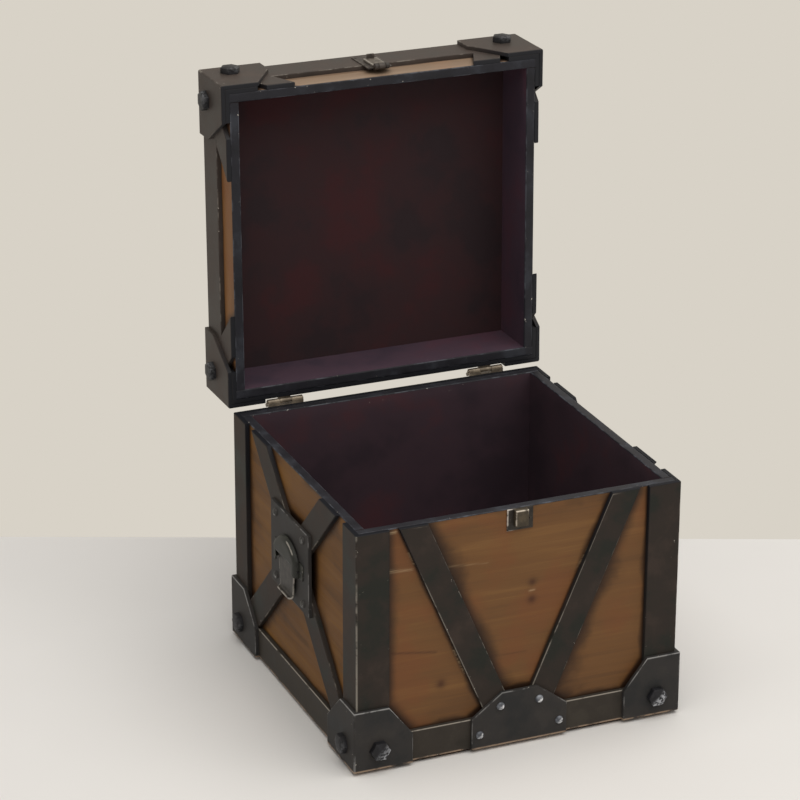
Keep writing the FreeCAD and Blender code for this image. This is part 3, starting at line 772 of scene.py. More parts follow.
def plate(outline: list, low: float, high: float, ease: float, place: Place, columns: tuple = (),
          seam: Optional[float] = None) -> Surface:
    """Makes a plate with an eased outer edge from a convex outline.

    The profile climbs the wall, turns a quarter round of radius ease and runs in over the face. It is
    carried round the outline: at each step of the profile the outline's sides are moved in by the profile's
    depth, and the lower and upper run of that smaller outline are read at the same columns.

    Args:
        outline: corners of a convex outline.
        low: height of the back of the plate above the board.
        high: height of the face of the plate above the board.
        ease: radius of the edge.
        place: puts outline places and heights into the box.
        columns: further places along the outline that need points of their own, as at a fold.
        seam: height at which the box was sawn apart, where the plate's end has the rim's paint.

    Returns:
        The closed surface, with its nearness to an edge as "edge" and to the seam as "rim".
    """
    corners = np.array(outline, float)
    normals, offsets = side_lines(corners)
    width = (corners @ normals.T - offsets).max(axis=0).min()
    lips = LIPS + ease
    lips = lips[lips < LIP_REACH * width]
    inward, drop = quarter_round(ease, 5)
    depth = np.concatenate([[0.0], inward, lips])
    height = np.concatenate([[low], high - drop, np.full(len(lips), high)])
    start, end = inset_reach(corners, depth)
    across = np.unique(np.concatenate([corners[:, 0], columns]))
    s = np.clip(across, start[:, None], end[:, None])
    rise = np.where(np.abs(normals[:, 1]) < UPRIGHT, np.nan, normals[:, 1])
    limits = (offsets + depth[:, None, None] - s[..., None] * normals[:, 0]) / rise
    lower = np.where(rise > 0, limits, -np.inf).max(axis=-1)
    upper = np.maximum(np.where(rise < 0, limits, np.inf).min(axis=-1), lower)
    ring_s = np.concatenate([s, s[:, ::-1]], axis=1)
    ring_v = np.concatenate([lower, upper[:, ::-1]], axis=1)
    values = {"edge": nearness(np.maximum(depth, high - height) - ROUND_DEPTH * ease)[:, None]}
    if seam is not None:
        values["rim"] = np.clip(1 - np.abs(ring_v - seam) / RIM_BAND, 0, 1)
        values["edge"] = values["edge"] * (1 - RIM_DULL * values["rim"])
    return swept(place(ring_s, ring_v, np.broadcast_to(height[:, None], ring_s.shape)), values, True)


def bar(wall: Wall, u0: float, u1: float, v: float, o: float, radius: float, ease: float = 0.4,
        steps: int = 28, rub: float = 0.8) -> Surface:
    """Makes a round bar along a face: a circle carried along its axis, drawn in by the ease at both ends.

    Args:
        wall: the face.
        u0: place of its first end along the face.
        u1: place of its last end.
        v: height of its axis above the floor.
        o: distance of its axis out of the board.
        radius: its radius.
        ease: radius of its end edges.
        steps: points round it.
        rub: how far its ends are rubbed.

    Returns:
        The closed bar.
    """
    inward, drop = quarter_round(ease, 4)
    along = np.concatenate([u0 + inward, u1 - inward[::-1]])
    reach = (radius - np.concatenate([drop, drop[::-1]]))[:, None]
    circle = np.linspace(0, 2 * np.pi, steps, endpoint=False)
    points = wall.place(along[:, None] + 0 * circle, v + reach * np.sin(circle), o + reach * np.cos(circle))
    return swept(points, {"edge": rub * nearness(np.minimum(along - u0, u1 - along))[:, None]})


@dataclass(frozen=True)
class Fold:
    """A sheet folded round an upright corner of the box.

    Developed distance s runs along the sheet's outer face from the fold: negative on the front or back,
    positive on the side. Between the two straight legs the outer face turns a quarter circle.
    """

    signs: tuple
    high: float
    bend: float
    steps: int = 7
    margin: float = 0.5

    @property
    def arc(self) -> float:
        """Half the length of the outer arc."""
        return self.bend * np.pi / 4

    def developed(self, distance: float) -> float:
        """Turns a distance from the sharp corner into a developed distance."""
        return distance - self.bend + self.arc

    def columns(self) -> tuple:
        """Gives the places along the fold that need points."""
        turn = np.linspace(-self.arc, self.arc, self.steps)
        return (*turn, turn[0] - self.margin, turn[-1] + self.margin)

    def place(self, s: Array, v: Array, o: Array) -> Array:
        """Wraps developed places round the corner.

        Args:
            s: developed distance from the fold.
            v: height above the floor.
            o: distance out of the boards.

        Returns:
            Places x, y, z in millimetres.
        """
        s, v, o = np.broadcast_arrays(s, v, o)
        radius = np.clip(self.bend - (self.high - o), 0, None)
        x_hub, y_hub = HALF_WIDTH + o - radius, HALF_DEPTH + o - radius
        angle = np.pi / 4 * (1 - np.clip(s / self.arc, -1, 1))
        run = self.high - self.bend - np.clip(np.abs(s) - self.arc, 0, None)
        x = x_hub + radius * np.cos(angle)
        y = y_hub + radius * np.sin(angle)
        x = np.where(s < -self.arc, np.minimum(x_hub, HALF_WIDTH + run), x)
        y = np.where(s > self.arc, np.minimum(y_hub, HALF_DEPTH + run), y)
        return np.stack([self.signs[0] * x, self.signs[1] * y, v], axis=-1)


CORNERS = {
    "front_left": (-1, -1),
    "front_right": (1, -1),
    "back_left": (-1, 1),
    "back_right": (1, 1),
}


def folded_plate(signs: tuple, outline: list, low: float, high: float, ease: float, bend: float,
                 seam: Optional[float] = None) -> Surface:
    """Makes a plate folded round a corner from an outline of sharp-corner distances and heights.

    Args:
        signs: which corner, as the signs of x and y.
        outline: distances from the sharp corner, negative on the front or back, and heights.
        low: height of the back of the plate above the boards.
        high: height of its face above the boards.
        ease: radius of its edge.
        bend: radius of its fold.
        seam: height at which the box was sawn apart.

    Returns:
        The closed surface, a little brighter along the fold.
    """
    fold = Fold(signs, high, bend)
    flat = [(np.sign(u) * fold.developed(abs(u)), v) for u, v in outline]
    surface = plate(flat, low, high, ease, fold.place, fold.columns(), seam)
    x, y = np.abs(surface.points[:, 0]) - HALF_WIDTH, np.abs(surface.points[:, 1]) - HALF_DEPTH
    surface.values["edge"] = np.maximum(surface.values["edge"], nearness(2 * high - x - y - FOLD_GAP * bend))
    return surface


# Pieces


def add_piece(name: str, surface: Surface, finishes: list, body: str,
              nodes: tuple = ()) -> bpy.types.Object:
    """Makes a Blender object of a surface, dresses it and hangs it on its body.

    Args:
        name: the piece's name.
        surface: its mesh in millimetres, at rest.
        finishes: its finishes in the order of the surface's finish numbers.
        body: the body that it moves with.
        nodes: the CAD nodes that it stands for.

    Returns:
        The new object.
    """
    mesh = bpy.data.meshes.new(name)
    mesh.from_pydata(surface.points * MM, [], surface.quads.tolist() + surface.caps)
    for key, value in surface.values.items():
        mesh.attributes.new(key, "FLOAT", "POINT").data.foreach_set("value", value.astype(np.float32))
    if surface.finish is not None:
        mesh.polygons.foreach_set("material_index", surface.finish.astype(np.int32))
    shell = bmesh.new()
    shell.from_mesh(mesh)
    bmesh.ops.remove_doubles(shell, verts=shell.verts, dist=MERGE)
    bmesh.ops.recalc_face_normals(shell, faces=shell.faces)
    shell.to_mesh(mesh)
    shell.free()
    mesh.shade_smooth()
    mesh.set_sharp_from_angle(angle=SHARP)
    for finish in finishes:
        mesh.materials.append(finish.make())
    piece = bpy.data.objects.new(name, mesh)
    bpy.context.scene.collection.objects.link(piece)
    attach(piece, body)
    if nodes:
        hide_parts(*nodes)
    LOG.info("%s rides on %s with %d faces", name, body, len(mesh.polygons))
    return piece


def dress_node(node: str, finish: Finish) -> None:
    """Gives a CAD node that keeps its shape a finish.

    Args:
        node: the node's name.
        finish: its finish.
    """
    mesh = frame["nodes"][node].data
    mesh.materials.clear()
    mesh.materials.append(finish.make())
    LOG.info("%s keeps its shape", node)


@dataclass
class Straps:
    """The painted straps: angles round the corners, rails, bands and braces."""

    strap: float = 4.0
    bare_edge: float = 3.0
    corner_leg: float = 29.0
    rail_height: float = 27.0
    hinge_rail_height: float = 24.0
    band_height: float = 32.0
    front_brace_width: float = 23.0
    front_brace_inset: float = 46.0
    front_brace_foot: float = 16.0
    side_brace_width: float = 26.0
    bend: float = 1.2
    ease: float = 0.8
    worn_corner: tuple = CORNERS["front_left"]
    worn_bends: float = 1.5
    corner_wear: float = 1.4
    # Extra rubbing on the rails' upper edges, partly wear and partly painted highlight
    rail_wear_and_glint: float = 0.9
    brace_wear: float = 0.75

    def field_edge(self, wall: Wall) -> float:
        """Half the length left free between the corner angles of a face."""
        return wall.half + self.strap - self.corner_leg

    @property
    def rail_top(self) -> float:
        """Height of the upper edge of the bottom rails."""
        return self.bare_edge + self.rail_height

    @property
    def band_bottom(self) -> float:
        """Height of the lower edge of the lid's bands when the lid is shut."""
        return LID_TOP - self.band_height

    def band_foot(self, wall: Wall) -> float:
        """Height of the lower edge of a lid band, which on the back covers the whole wall."""
        return LID_RIM if wall is Wall.BACK else self.band_bottom

    def diagonal(self, start: tuple, end: tuple, width: float, area: list) -> list:
        """Cuts a straight strap out of an area.

        Args:
            start: a place on its middle line.
            end: another place on that line.
            width: its width.
            area: corners of the area.

        Returns:
            The strap's corners.
        """
        run = np.array(end) - np.array(start)
        across = np.array([-run[1], run[0]]) / np.linalg.norm(run)
        middle = float(across @ np.array(start))
        return clip(clip(area, across, middle - width / 2), -across, -middle - width / 2)

    def front_brace(self, sign: int, bottom: float, top: float) -> list:
        """Gives one arm of the front V between two heights.

        Args:
            sign: -1 for the left arm, 1 for the right one.
            bottom: the lower height.
            top: the upper height.

        Returns:
            The arm's corners.
        """
        foot = (self.front_brace_foot, self.rail_top)
        rim = (HALF_WIDTH - self.front_brace_inset, BODY_HEIGHT)
        ends = [(sign * u, v) for u, v in (foot, rim)]
        return self.diagonal(*ends, self.front_brace_width, self.rail(Wall.FRONT, bottom, top))

    def side_arms(self, wall: Wall, bottom: float, top: float) -> list[list]:
        """Gives the straps of a side's cross between two heights: one whole, and the other beside it.

        Args:
            wall: the side.
            bottom: the lower height.
            top: the upper height.

        Returns:
            The corners of each strap.
        """
        area, width, half = self.rail(wall, bottom, top), self.side_brace_width, wall.half
        arms = [self.diagonal((-half, 0), (half, LID_TOP), width, area)]
        across = np.array([-LID_TOP, 2 * half]) / np.hypot(LID_TOP, 2 * half)
        middle = float(across @ np.array((-half, 0)))
        for sign in (1, -1):
            beyond = clip(area, sign * across, sign * middle + width / 2)
            arms.append(self.diagonal((half, 0), (-half, LID_TOP), width, beyond))
        return [arm for arm in arms if len(arm) > 2]

    def arms(self, wall: Wall, bottom: float, top: float) -> list[list]:
        """Gives the braces of a face between two heights.

        Args:
            wall: the face.
            bottom: the lower height.
            top: the upper height.

        Returns:
            The corners of each brace; the back has none.
        """
        if wall is Wall.FRONT:
            return [self.front_brace(sign, bottom, top) for sign in (-1, 1)]
        return [] if wall is Wall.BACK else self.side_arms(wall, bottom, top)

    def rail(self, wall: Wall, bottom: float, top: float) -> list:
        """Gives a strap along a face between its corner angles."""
        edge = self.field_edge(wall)
        return rectangle(-edge, edge, bottom, top)

    def flat(self, wall: Wall, outline: list, seam: float) -> Surface:
        """Makes a strap on a face."""
        return plate(outline, 0, self.strap, self.ease, wall.place, seam=seam)

    def angle(self, signs: tuple, bottom: float, top: float, seam: float) -> Surface:
        """Makes an angle strap round a corner.

        Args:
            signs: which corner, as the signs of x and y.
            bottom: height of its lower end.
            top: height of its upper end.
            seam: height at which the box was sawn apart.

        Returns:
            The closed strap, with extra wear low on the worn corner's fold.
        """
        outline = rectangle(-self.corner_leg, self.corner_leg, bottom, top)
        surface = folded_plate(signs, outline, 0, self.strap, self.ease, self.bend, seam)
        if signs == self.worn_corner:
            run = surface.points[:, :2] @ np.array(signs) - HALF_WIDTH - HALF_DEPTH - 2 * self.strap
            low = surface.points[:, 2] < BODY_HEIGHT / 2
            surface.values["wear"] = self.corner_wear * ((run > -self.worn_bends * self.bend) & low)
        return surface

    def outlines(self, wall: Wall, lid: bool) -> list[list]:
        """Gives every strap outline on one face, corner angles included, for the wax and painted shade beside
        them.

        Args:
            wall: the face.
            lid: whether it is the shut lid's face and not the body's.

        Returns:
            The corners of each strap.
        """
        edge, above = self.field_edge(wall), 2 * LID_TOP
        outlines = mirrored(rectangle(edge, 2 * edge, 0, above))
        if lid:
            outlines.append(self.rail(wall, self.band_foot(wall), above))
            return outlines + self.arms(wall, LID_RIM, self.band_bottom)
        outlines.append(self.rail(wall, 0, self.rail_top))
        if wall is Wall.BACK:
            outlines.append(self.rail(wall, BODY_HEIGHT - self.hinge_rail_height, above))
        return outlines + self.arms(wall, self.rail_top, BODY_HEIGHT)

    def build(self) -> None:
        """Makes every strap of the body and of the lid."""
        reach = WEAR_AND_GLINT_REACH * self.ease
        for name, signs in CORNERS.items():
            angle = self.angle(signs, self.bare_edge, BODY_HEIGHT, BODY_HEIGHT)
            self.add(name + "_corner_angle", angle, "body")
        for wall in Wall:
            rail = self.flat(wall, self.rail(wall, self.bare_edge, self.rail_top), BODY_HEIGHT)
            # Wear and a painted highlight along the rails' upper edges, where light from above catches them
            rail.values["wear"] = self.rail_wear_and_glint * (rail.points[:, 2] > self.rail_top - reach)
            self.add(wall.label + "_bottom_rail", rail, "body")
        rail = self.rail(Wall.BACK, BODY_HEIGHT - self.hinge_rail_height, BODY_HEIGHT)
        self.add("back_hinge_rail", self.flat(Wall.BACK, rail, BODY_HEIGHT), "body")
        arms = self.arms(Wall.FRONT, self.rail_top, BODY_HEIGHT)
        for name, arm in zip(("front_left_brace", "front_right_brace"), arms):
            brace = self.flat(Wall.FRONT, arm, BODY_HEIGHT)
            normals, offsets = side_lines(np.array(arm))
            left = np.argmax(normals[:, 0])
            depth = brace.points[:, [0, 2]] @ normals[left] - offsets[left]
            brace.values["wear"] = self.brace_wear * (depth < reach)
            self.add(name, brace, "body")
        for wall in (Wall.LEFT, Wall.RIGHT):
            arms = self.arms(wall, self.rail_top, BODY_HEIGHT)
            braces = joined([self.flat(wall, arm, BODY_HEIGHT) for arm in arms])
            self.add(wall.label + "_side_braces", braces, "body")
        self.build_lid()

    def build_lid(self) -> None:
        """Makes the straps of the lid, shut, and swings them open."""
        angles = [self.angle(signs, LID_RIM, LID_TOP, LID_RIM) for signs in CORNERS.values()]
        self.add("lid_corner_angles", joined(angles).moved(LID.opened), "lid")
        for wall in Wall:
            band = self.flat(wall, self.rail(wall, self.band_foot(wall), LID_TOP), LID_RIM)
            self.add("lid_" + wall.label + "_band", band.moved(LID.opened), "lid")
            ends = [self.flat(wall, end, LID_RIM) for end in self.arms(wall, LID_RIM, self.band_bottom)]
            if ends:
                self.add("lid_" + wall.label + "_brace_ends", joined(ends).moved(LID.opened), "lid")

    def add(self, node: str, surface: Surface, body: str) -> None:
        """Adds one strap that stands for its node.

        Args:
            node: the node's name.
            surface: the strap at rest.
            body: the body that it moves with.
        """
        finish = RAIL_PAINT if node.endswith("bottom_rail") else STRAP_PAINT
        finishes = [LID_PAINT if body == "lid" else finish]
        add_piece("painted_" + node, surface, finishes, body, (node,))


@dataclass
class Plates:
    """The plates laid over the straps: corner brackets, the front gusset and the handle plates."""

    straps: Straps
    bracket: float = 3.5
    bracket_height: float = 54.0
    bracket_head: float = 31.0
    front_reach: float = 52.0
    side_reach: float = 59.0
    lid_reach: float = 56.0
    lid_shoulder: float = 20.0
    lid_head: float = 33.0
    lid_back_reach: float = 34.0
    bend: float = 1.6
    gusset: float = 3.0
    gusset_half_width: float = 43.0
    gusset_half_top: float = 16.0
    gusset_shoulder: float = 28.0
    gusset_height: float = 48.0
    handle_plate: float = 3.0
    handle_width: float = 86.0
    handle_height: float = 74.0
    ease: float = 0.7
    # A painted highlight along the body brackets' upper edges, where light from above catches them
    head_glint: float = 0.8

    @property
    def face(self) -> float:
        """Height of a bracket's face above the boards."""
        return self.straps.strap + self.bracket

    @property
    def handle_face(self) -> float:
        """Height of a handle plate's face above the boards."""
        return self.straps.strap + self.handle_plate

    @property
    def head(self) -> float:
        """Height of a body bracket's upper edge above the floor."""
        return self.straps.bare_edge + self.bracket_height

    def foot_outline(self) -> list:
        """Gives a body bracket laid out flat.

        Returns:
            The bracket's corners.
        """
        low, shoulder, head, front = self.straps.bare_edge, self.straps.rail_top, self.head, self.front_reach
        return [(-front, low), (self.side_reach, low), (self.side_reach, shoulder),
                (self.bracket_head, head), (-self.bracket_head, head), (-front, shoulder)]

    def lid_outline(self, front: bool) -> list:
        """Gives a lid bracket laid out flat; the leg on the back is cut off square beside the hinge.

        Args:
            front: whether it is one of the front brackets.

        Returns:
            The bracket's corners.
        """
        head, reach, back = self.lid_head, self.lid_reach, self.lid_back_reach
        shoulder = LID_TOP - self.lid_shoulder
        side = [(head, LID_RIM), (reach, shoulder), (reach, LID_TOP)]
        if front:
            return side + [(-reach, LID_TOP), (-reach, shoulder), (-head, LID_RIM)]
        return side + [(-back, LID_TOP), (-back, LID_RIM)]

    def gusset_outline(self) -> list:
        """Gives the half octagon that ties the front braces to the rail.

        Returns:
            The gusset's corners.
        """
        foot, wide = self.straps.bare_edge, self.gusset_half_width
        half = [(wide, foot), (wide, foot + self.gusset_shoulder),
                (self.gusset_half_top, foot + self.gusset_height)]
        return half + [(-u, v) for u, v in reversed(half)]

    def handle_outline(self) -> list:
        """Gives the plate over a side's crossing."""
        half, rise, middle = self.handle_width / 2, self.handle_height / 2, LID_TOP / 2
        return rectangle(-half, half, middle - rise, middle + rise)

    def outlines(self, wall: Wall, lid: bool) -> list[list]:
        """Gives every plate outline on one face, for the wax and painted shade beside them.

        Args:
            wall: the face.
            lid: whether it is the shut lid's face and not the body's.

        Returns:
            The corners of each plate.
        """
        far = wall.half + self.face
        if lid:
            shoulder, end = LID_TOP - self.lid_shoulder, far - self.lid_reach
            return mirrored([(far, LID_RIM), (far - self.lid_head, LID_RIM), (end, shoulder), (end, LID_TOP),
                             (far, LID_TOP)])
        low, end = self.straps.bare_edge, far - (self.front_reach if wall.wide else self.side_reach)
        outlines = mirrored([(far, low), (far, self.head), (far - self.bracket_head, self.head),
                             (end, self.straps.rail_top), (end, low)])
        if wall is Wall.FRONT:
            outlines.append(self.gusset_outline())
        elif wall is not Wall.BACK:
            outlines.append(self.handle_outline())
        return outlines

    def build(self) -> None:
        """Makes every plate."""
        strap, face, ease = self.straps.strap, self.face, self.ease
        for name, signs in CORNERS.items():
            foot = folded_plate(signs, self.foot_outline(), strap, face, ease, self.bend)
            # Painted highlight along the brackets' upper edges, drawn with the rubbed-edge lines
            foot.values["wear"] = self.head_glint * (foot.points[:, 2] > self.head - WEAR_AND_GLINT_REACH * ease)
            self.add(name + "_corner_bracket", foot, "body")
            outline = self.lid_outline(signs[1] < 0)
            lid = folded_plate(signs, outline, strap, face, ease, self.bend, LID_RIM)
            self.add("lid_" + name + "_bracket", lid.moved(LID.opened), "lid")
        gusset = plate(self.gusset_outline(), strap, strap + self.gusset, ease, Wall.FRONT.place)
        self.add("front_gusset_plate", gusset, "body")
        for wall in (Wall.LEFT, Wall.RIGHT):
            base = plate(self.handle_outline(), strap, self.handle_face, ease, wall.place)
            self.add(wall.label + "_handle_plate", base, "body")

    def add(self, node: str, surface: Surface, body: str) -> None:
        """Adds one plate that stands for its node."""
        finish = LID_PAINT if body == "lid" else PLATE_PAINT
        add_piece("painted_" + node, surface, [finish], body, (node,))


@dataclass
class Boards:
    """The pine boards of the box and of the lid: stained outside, painted on the rim and inside.

    Knots are a place on the front and a size. Scratches and cracks are a start, an end, a half width and
    a strength.
    """

    straps: Straps
    plates: Plates
    pitch: float = 2.5
    front_pitch: float = 1.25
    inner_pitch: float = 12.0
    ease: float = 0.9
    # How far the wax and painted shade reach in from the rim, how much narrower they lie beside a cover's
    # sides other than its right, the shadow side, and how much weaker they are on the lid
    rim_wax_and_shade: float = 6.0
    crisp: float = 3.5
    lid_wax_and_shade: float = 2.0
    # On the sides the reach of the wax and painted shade changes from the foot to the top: painted shade that
    # makes them darker towards the bottom
    side_shade_by_height: tuple = (0.7, 1.8)
    knot_share: float = 0.75
    knots: tuple = ((12.5, 143.0, 3.7), (12.2, 127.7, 3.9), (-68.0, 66.0, 4.2))
    scratches: tuple = (
        (-115.0, 174.8, -92.0, 172.6, 1.3, 0.5),
        (-115.0, 207.5, -106.4, 208.2, 1.1, 0.55),
        (-58.2, 98.0, -46.6, 71.0, 0.8, 0.4),
        (80.0, 196.0, 51.5, 147.0, 0.7, 0.22),
        (-65.0, 170.3, -26.0, 166.8, 0.7, 0.12),
        (8.5, 135.4, 16.0, 136.2, 0.9, 0.55),
        (-97.6, 190.0, -91.6, 176.0, 0.9, 0.35),
        (62.0, 140.0, 78.0, 138.0, 0.7, 0.15),
    )
    cracks: tuple = ((-114.0, 102.0, -71.0, 95.4, 0.9, 0.5), (-50.0, 84.0, 10.0, 81.0, 0.7, 0.3))
    stroke_end: float = 2.0

    def section(self, height: float, pitch: float) -> tuple[Array, Array, Array]:
        """Gives the section of an upright board: up its outside, over its rim and down its inside.

        Args:
            height: the board's height.
            pitch: distance of the points on its outside.

        Returns:
            Distances out, heights above its lower edge, and finish numbers of the stretches that follow the
            points: 0 stained, 1 rim, 2 inside.
        """
        ease = self.ease
        up = np.linspace(0, height - ease, int(height / pitch))
        down = np.linspace(height - ease, 0, int(height / self.inner_pitch))[1:]
        inward, drop = (part[1:] for part in quarter_round(ease, 5))
        flat = np.linspace(-ease, ease - BOARD, 6)[1:]
        o = [np.zeros(len(up)), -inward, flat, drop - BOARD, np.full(len(down), -BOARD)]
        v = [up, height - drop, np.full(len(flat), height), height - inward, down]
        kinds = np.repeat([0, 1, 2, 0], [len(up) - 1, 2 * len(drop) + len(flat), len(down), 1])
        return np.concatenate(o), np.concatenate(v), kinds

    def strokes(self, lines: tuple, u: Array, v: Array) -> Array:
        """Gives the strength of thin lines at places: a bell across each line, cut off at its ends.

        Args:
            lines: each line's start, end, half width and strength.
            u: places along the face.
            v: heights above the floor.

        Returns:
            The strongest line's value at each place.
        """
        strength = np.zeros(u.shape)
        for u0, v0, u1, v1, width, share in lines:
            length = np.hypot(u1 - u0, v1 - v0)
            along = ((u - u0) * (u1 - u0) + (v - v0) * (v1 - v0)) / length
            across = ((v - v0) * (u1 - u0) - (u - u0) * (v1 - v0)) / length
            ends = np.clip(np.minimum(along, length - along) / self.stroke_end, 0, 1)
            strength = np.maximum(strength, share * ends * np.exp(-(across / width) ** 2))
        return strength

    def upright(self, wall: Wall, lid: bool) -> Surface:
        """Makes an upright board by carrying its section along its length.

        Args:
            wall: the face that it makes.
            lid: whether it is the lid's board, with its rim below, and not the body's.

        Returns:
            The closed board, with the distance to the nearest cover as "cover_mm" and marks on the front.
        """
        marked = wall is Wall.FRONT and not lid
        pitch = self.front_pitch if marked else self.pitch
        bottom, top = (LID_RIM, LID_TOP - TOP_BOARD) if lid else (0, BODY_HEIGHT)
        half = wall.half if wall.wide else wall.half - BOARD
        o, rise, kinds = self.section(top - bottom, pitch)
        o, u = np.meshgrid(o, np.linspace(-half, half, int(2 * half / pitch)))
        v = np.broadcast_to(top - rise if lid else bottom + rise, u.shape)
        rim = bottom if lid else top
        # cover_mm sets the wax and painted shade: small beside straps, plates and the rim, and wide on a
        # cover's right, its shadow side
        covers = self.straps.outlines(wall, lid) + self.plates.outlines(wall, lid)
        distance = [outline_distance(cover, u, v, self.crisp) for cover in covers]
        cover = np.clip(np.min([*distance, np.abs(v - rim) + self.rim_wax_and_shade], axis=0), 0, None)
        if lid:
            cover = cover * self.lid_wax_and_shade
        elif not wall.wide:
            # Painted shade on the sides: the band reaches further near the foot, so they darken towards the
            # bottom
            cover = cover * np.interp(v, (bottom, top), self.side_shade_by_height)
        corner = np.minimum(np.hypot(o, v - rim), np.hypot(o + BOARD, v - rim))
        values = {"cover_mm": cover, "edge": nearness(corner - ROUND_GAP * self.ease)}
        if marked:
            bells = [np.exp(-((u - x) ** 2 + (v - y) ** 2) / size ** 2) for x, y, size in self.knots]
            knots = self.knot_share * np.max(bells, axis=0)
            values["knot"] = np.maximum(knots, self.strokes(self.cracks, u, v))
            values["scratch"] = self.strokes(self.scratches, u, v)
        surface = swept(wall.place(u, v, o), values)
        surface.finish = np.concatenate([np.tile(kinds, len(u) - 1), [0, 0]])
        return surface

    def level(self, half_x: float, half_y: float, bottom: float, top: float, inside_up: bool) -> Surface:
        """Makes a level board, a plate of the whole area whose inner face has the inside's paint.

        Args:
            half_x: half its width.
            half_y: half its depth.
            bottom: height of its underside.
            top: height of its upper side.
            inside_up: whether its upper side is the inner one.

        Returns:
            The closed board.
        """
        def lie(u: Array, v: Array, o: Array) -> Array:
            """Lays the outline flat, with the plate's height upward."""
            return np.stack(np.broadcast_arrays(u, v, o), axis=-1)

        surface = plate(rectangle(-half_x, half_x, -half_y, half_y), bottom, top, self.ease, lie)
        height = surface.points[surface.quads][..., 2]
        upper, lower = height.min(axis=1) > top - self.ease - HAIR, height.max(axis=1) < bottom + HAIR
        surface.finish = upper if inside_up else lower
        surface.values = {"cover_mm": np.full(len(surface.points), 2 * BODY_HEIGHT)}
        return surface

    def build(self) -> None:
        """Makes every board."""
        for wall in Wall:
            finishes = [FRONT_PINE if wall.wide else SIDE_PINE, RIM_PAINT, INNER_WALL_PAINT]
            self.add(wall.label + "_panel", self.upright(wall, False), finishes, "body")
            finishes = [LID_FRONT_PINE if wall.wide else LID_SIDE_PINE, RIM_PAINT, LID_WALL_PAINT]
            board = self.upright(wall, True).moved(LID.opened)
            self.add("lid_" + wall.label + "_wall", board, finishes, "lid")
        base = self.level(HALF_WIDTH - BOARD, HALF_DEPTH - BOARD, 0, BASE_BOARD, True)
        self.add("bottom_board", base, [FRONT_PINE, FLOOR_PAINT], "body")
        top = self.level(HALF_WIDTH, HALF_DEPTH, LID_TOP - TOP_BOARD, LID_TOP, False)
        self.add("lid_top_board", top.moved(LID.opened), [FRONT_PINE, INSIDE_PAINT], "lid")

    def add(self, node: str, surface: Surface, finishes: list, body: str) -> None:
        """Adds one board that stands for its node."""
        add_piece("pine_" + node, surface, finishes, body, (node,))


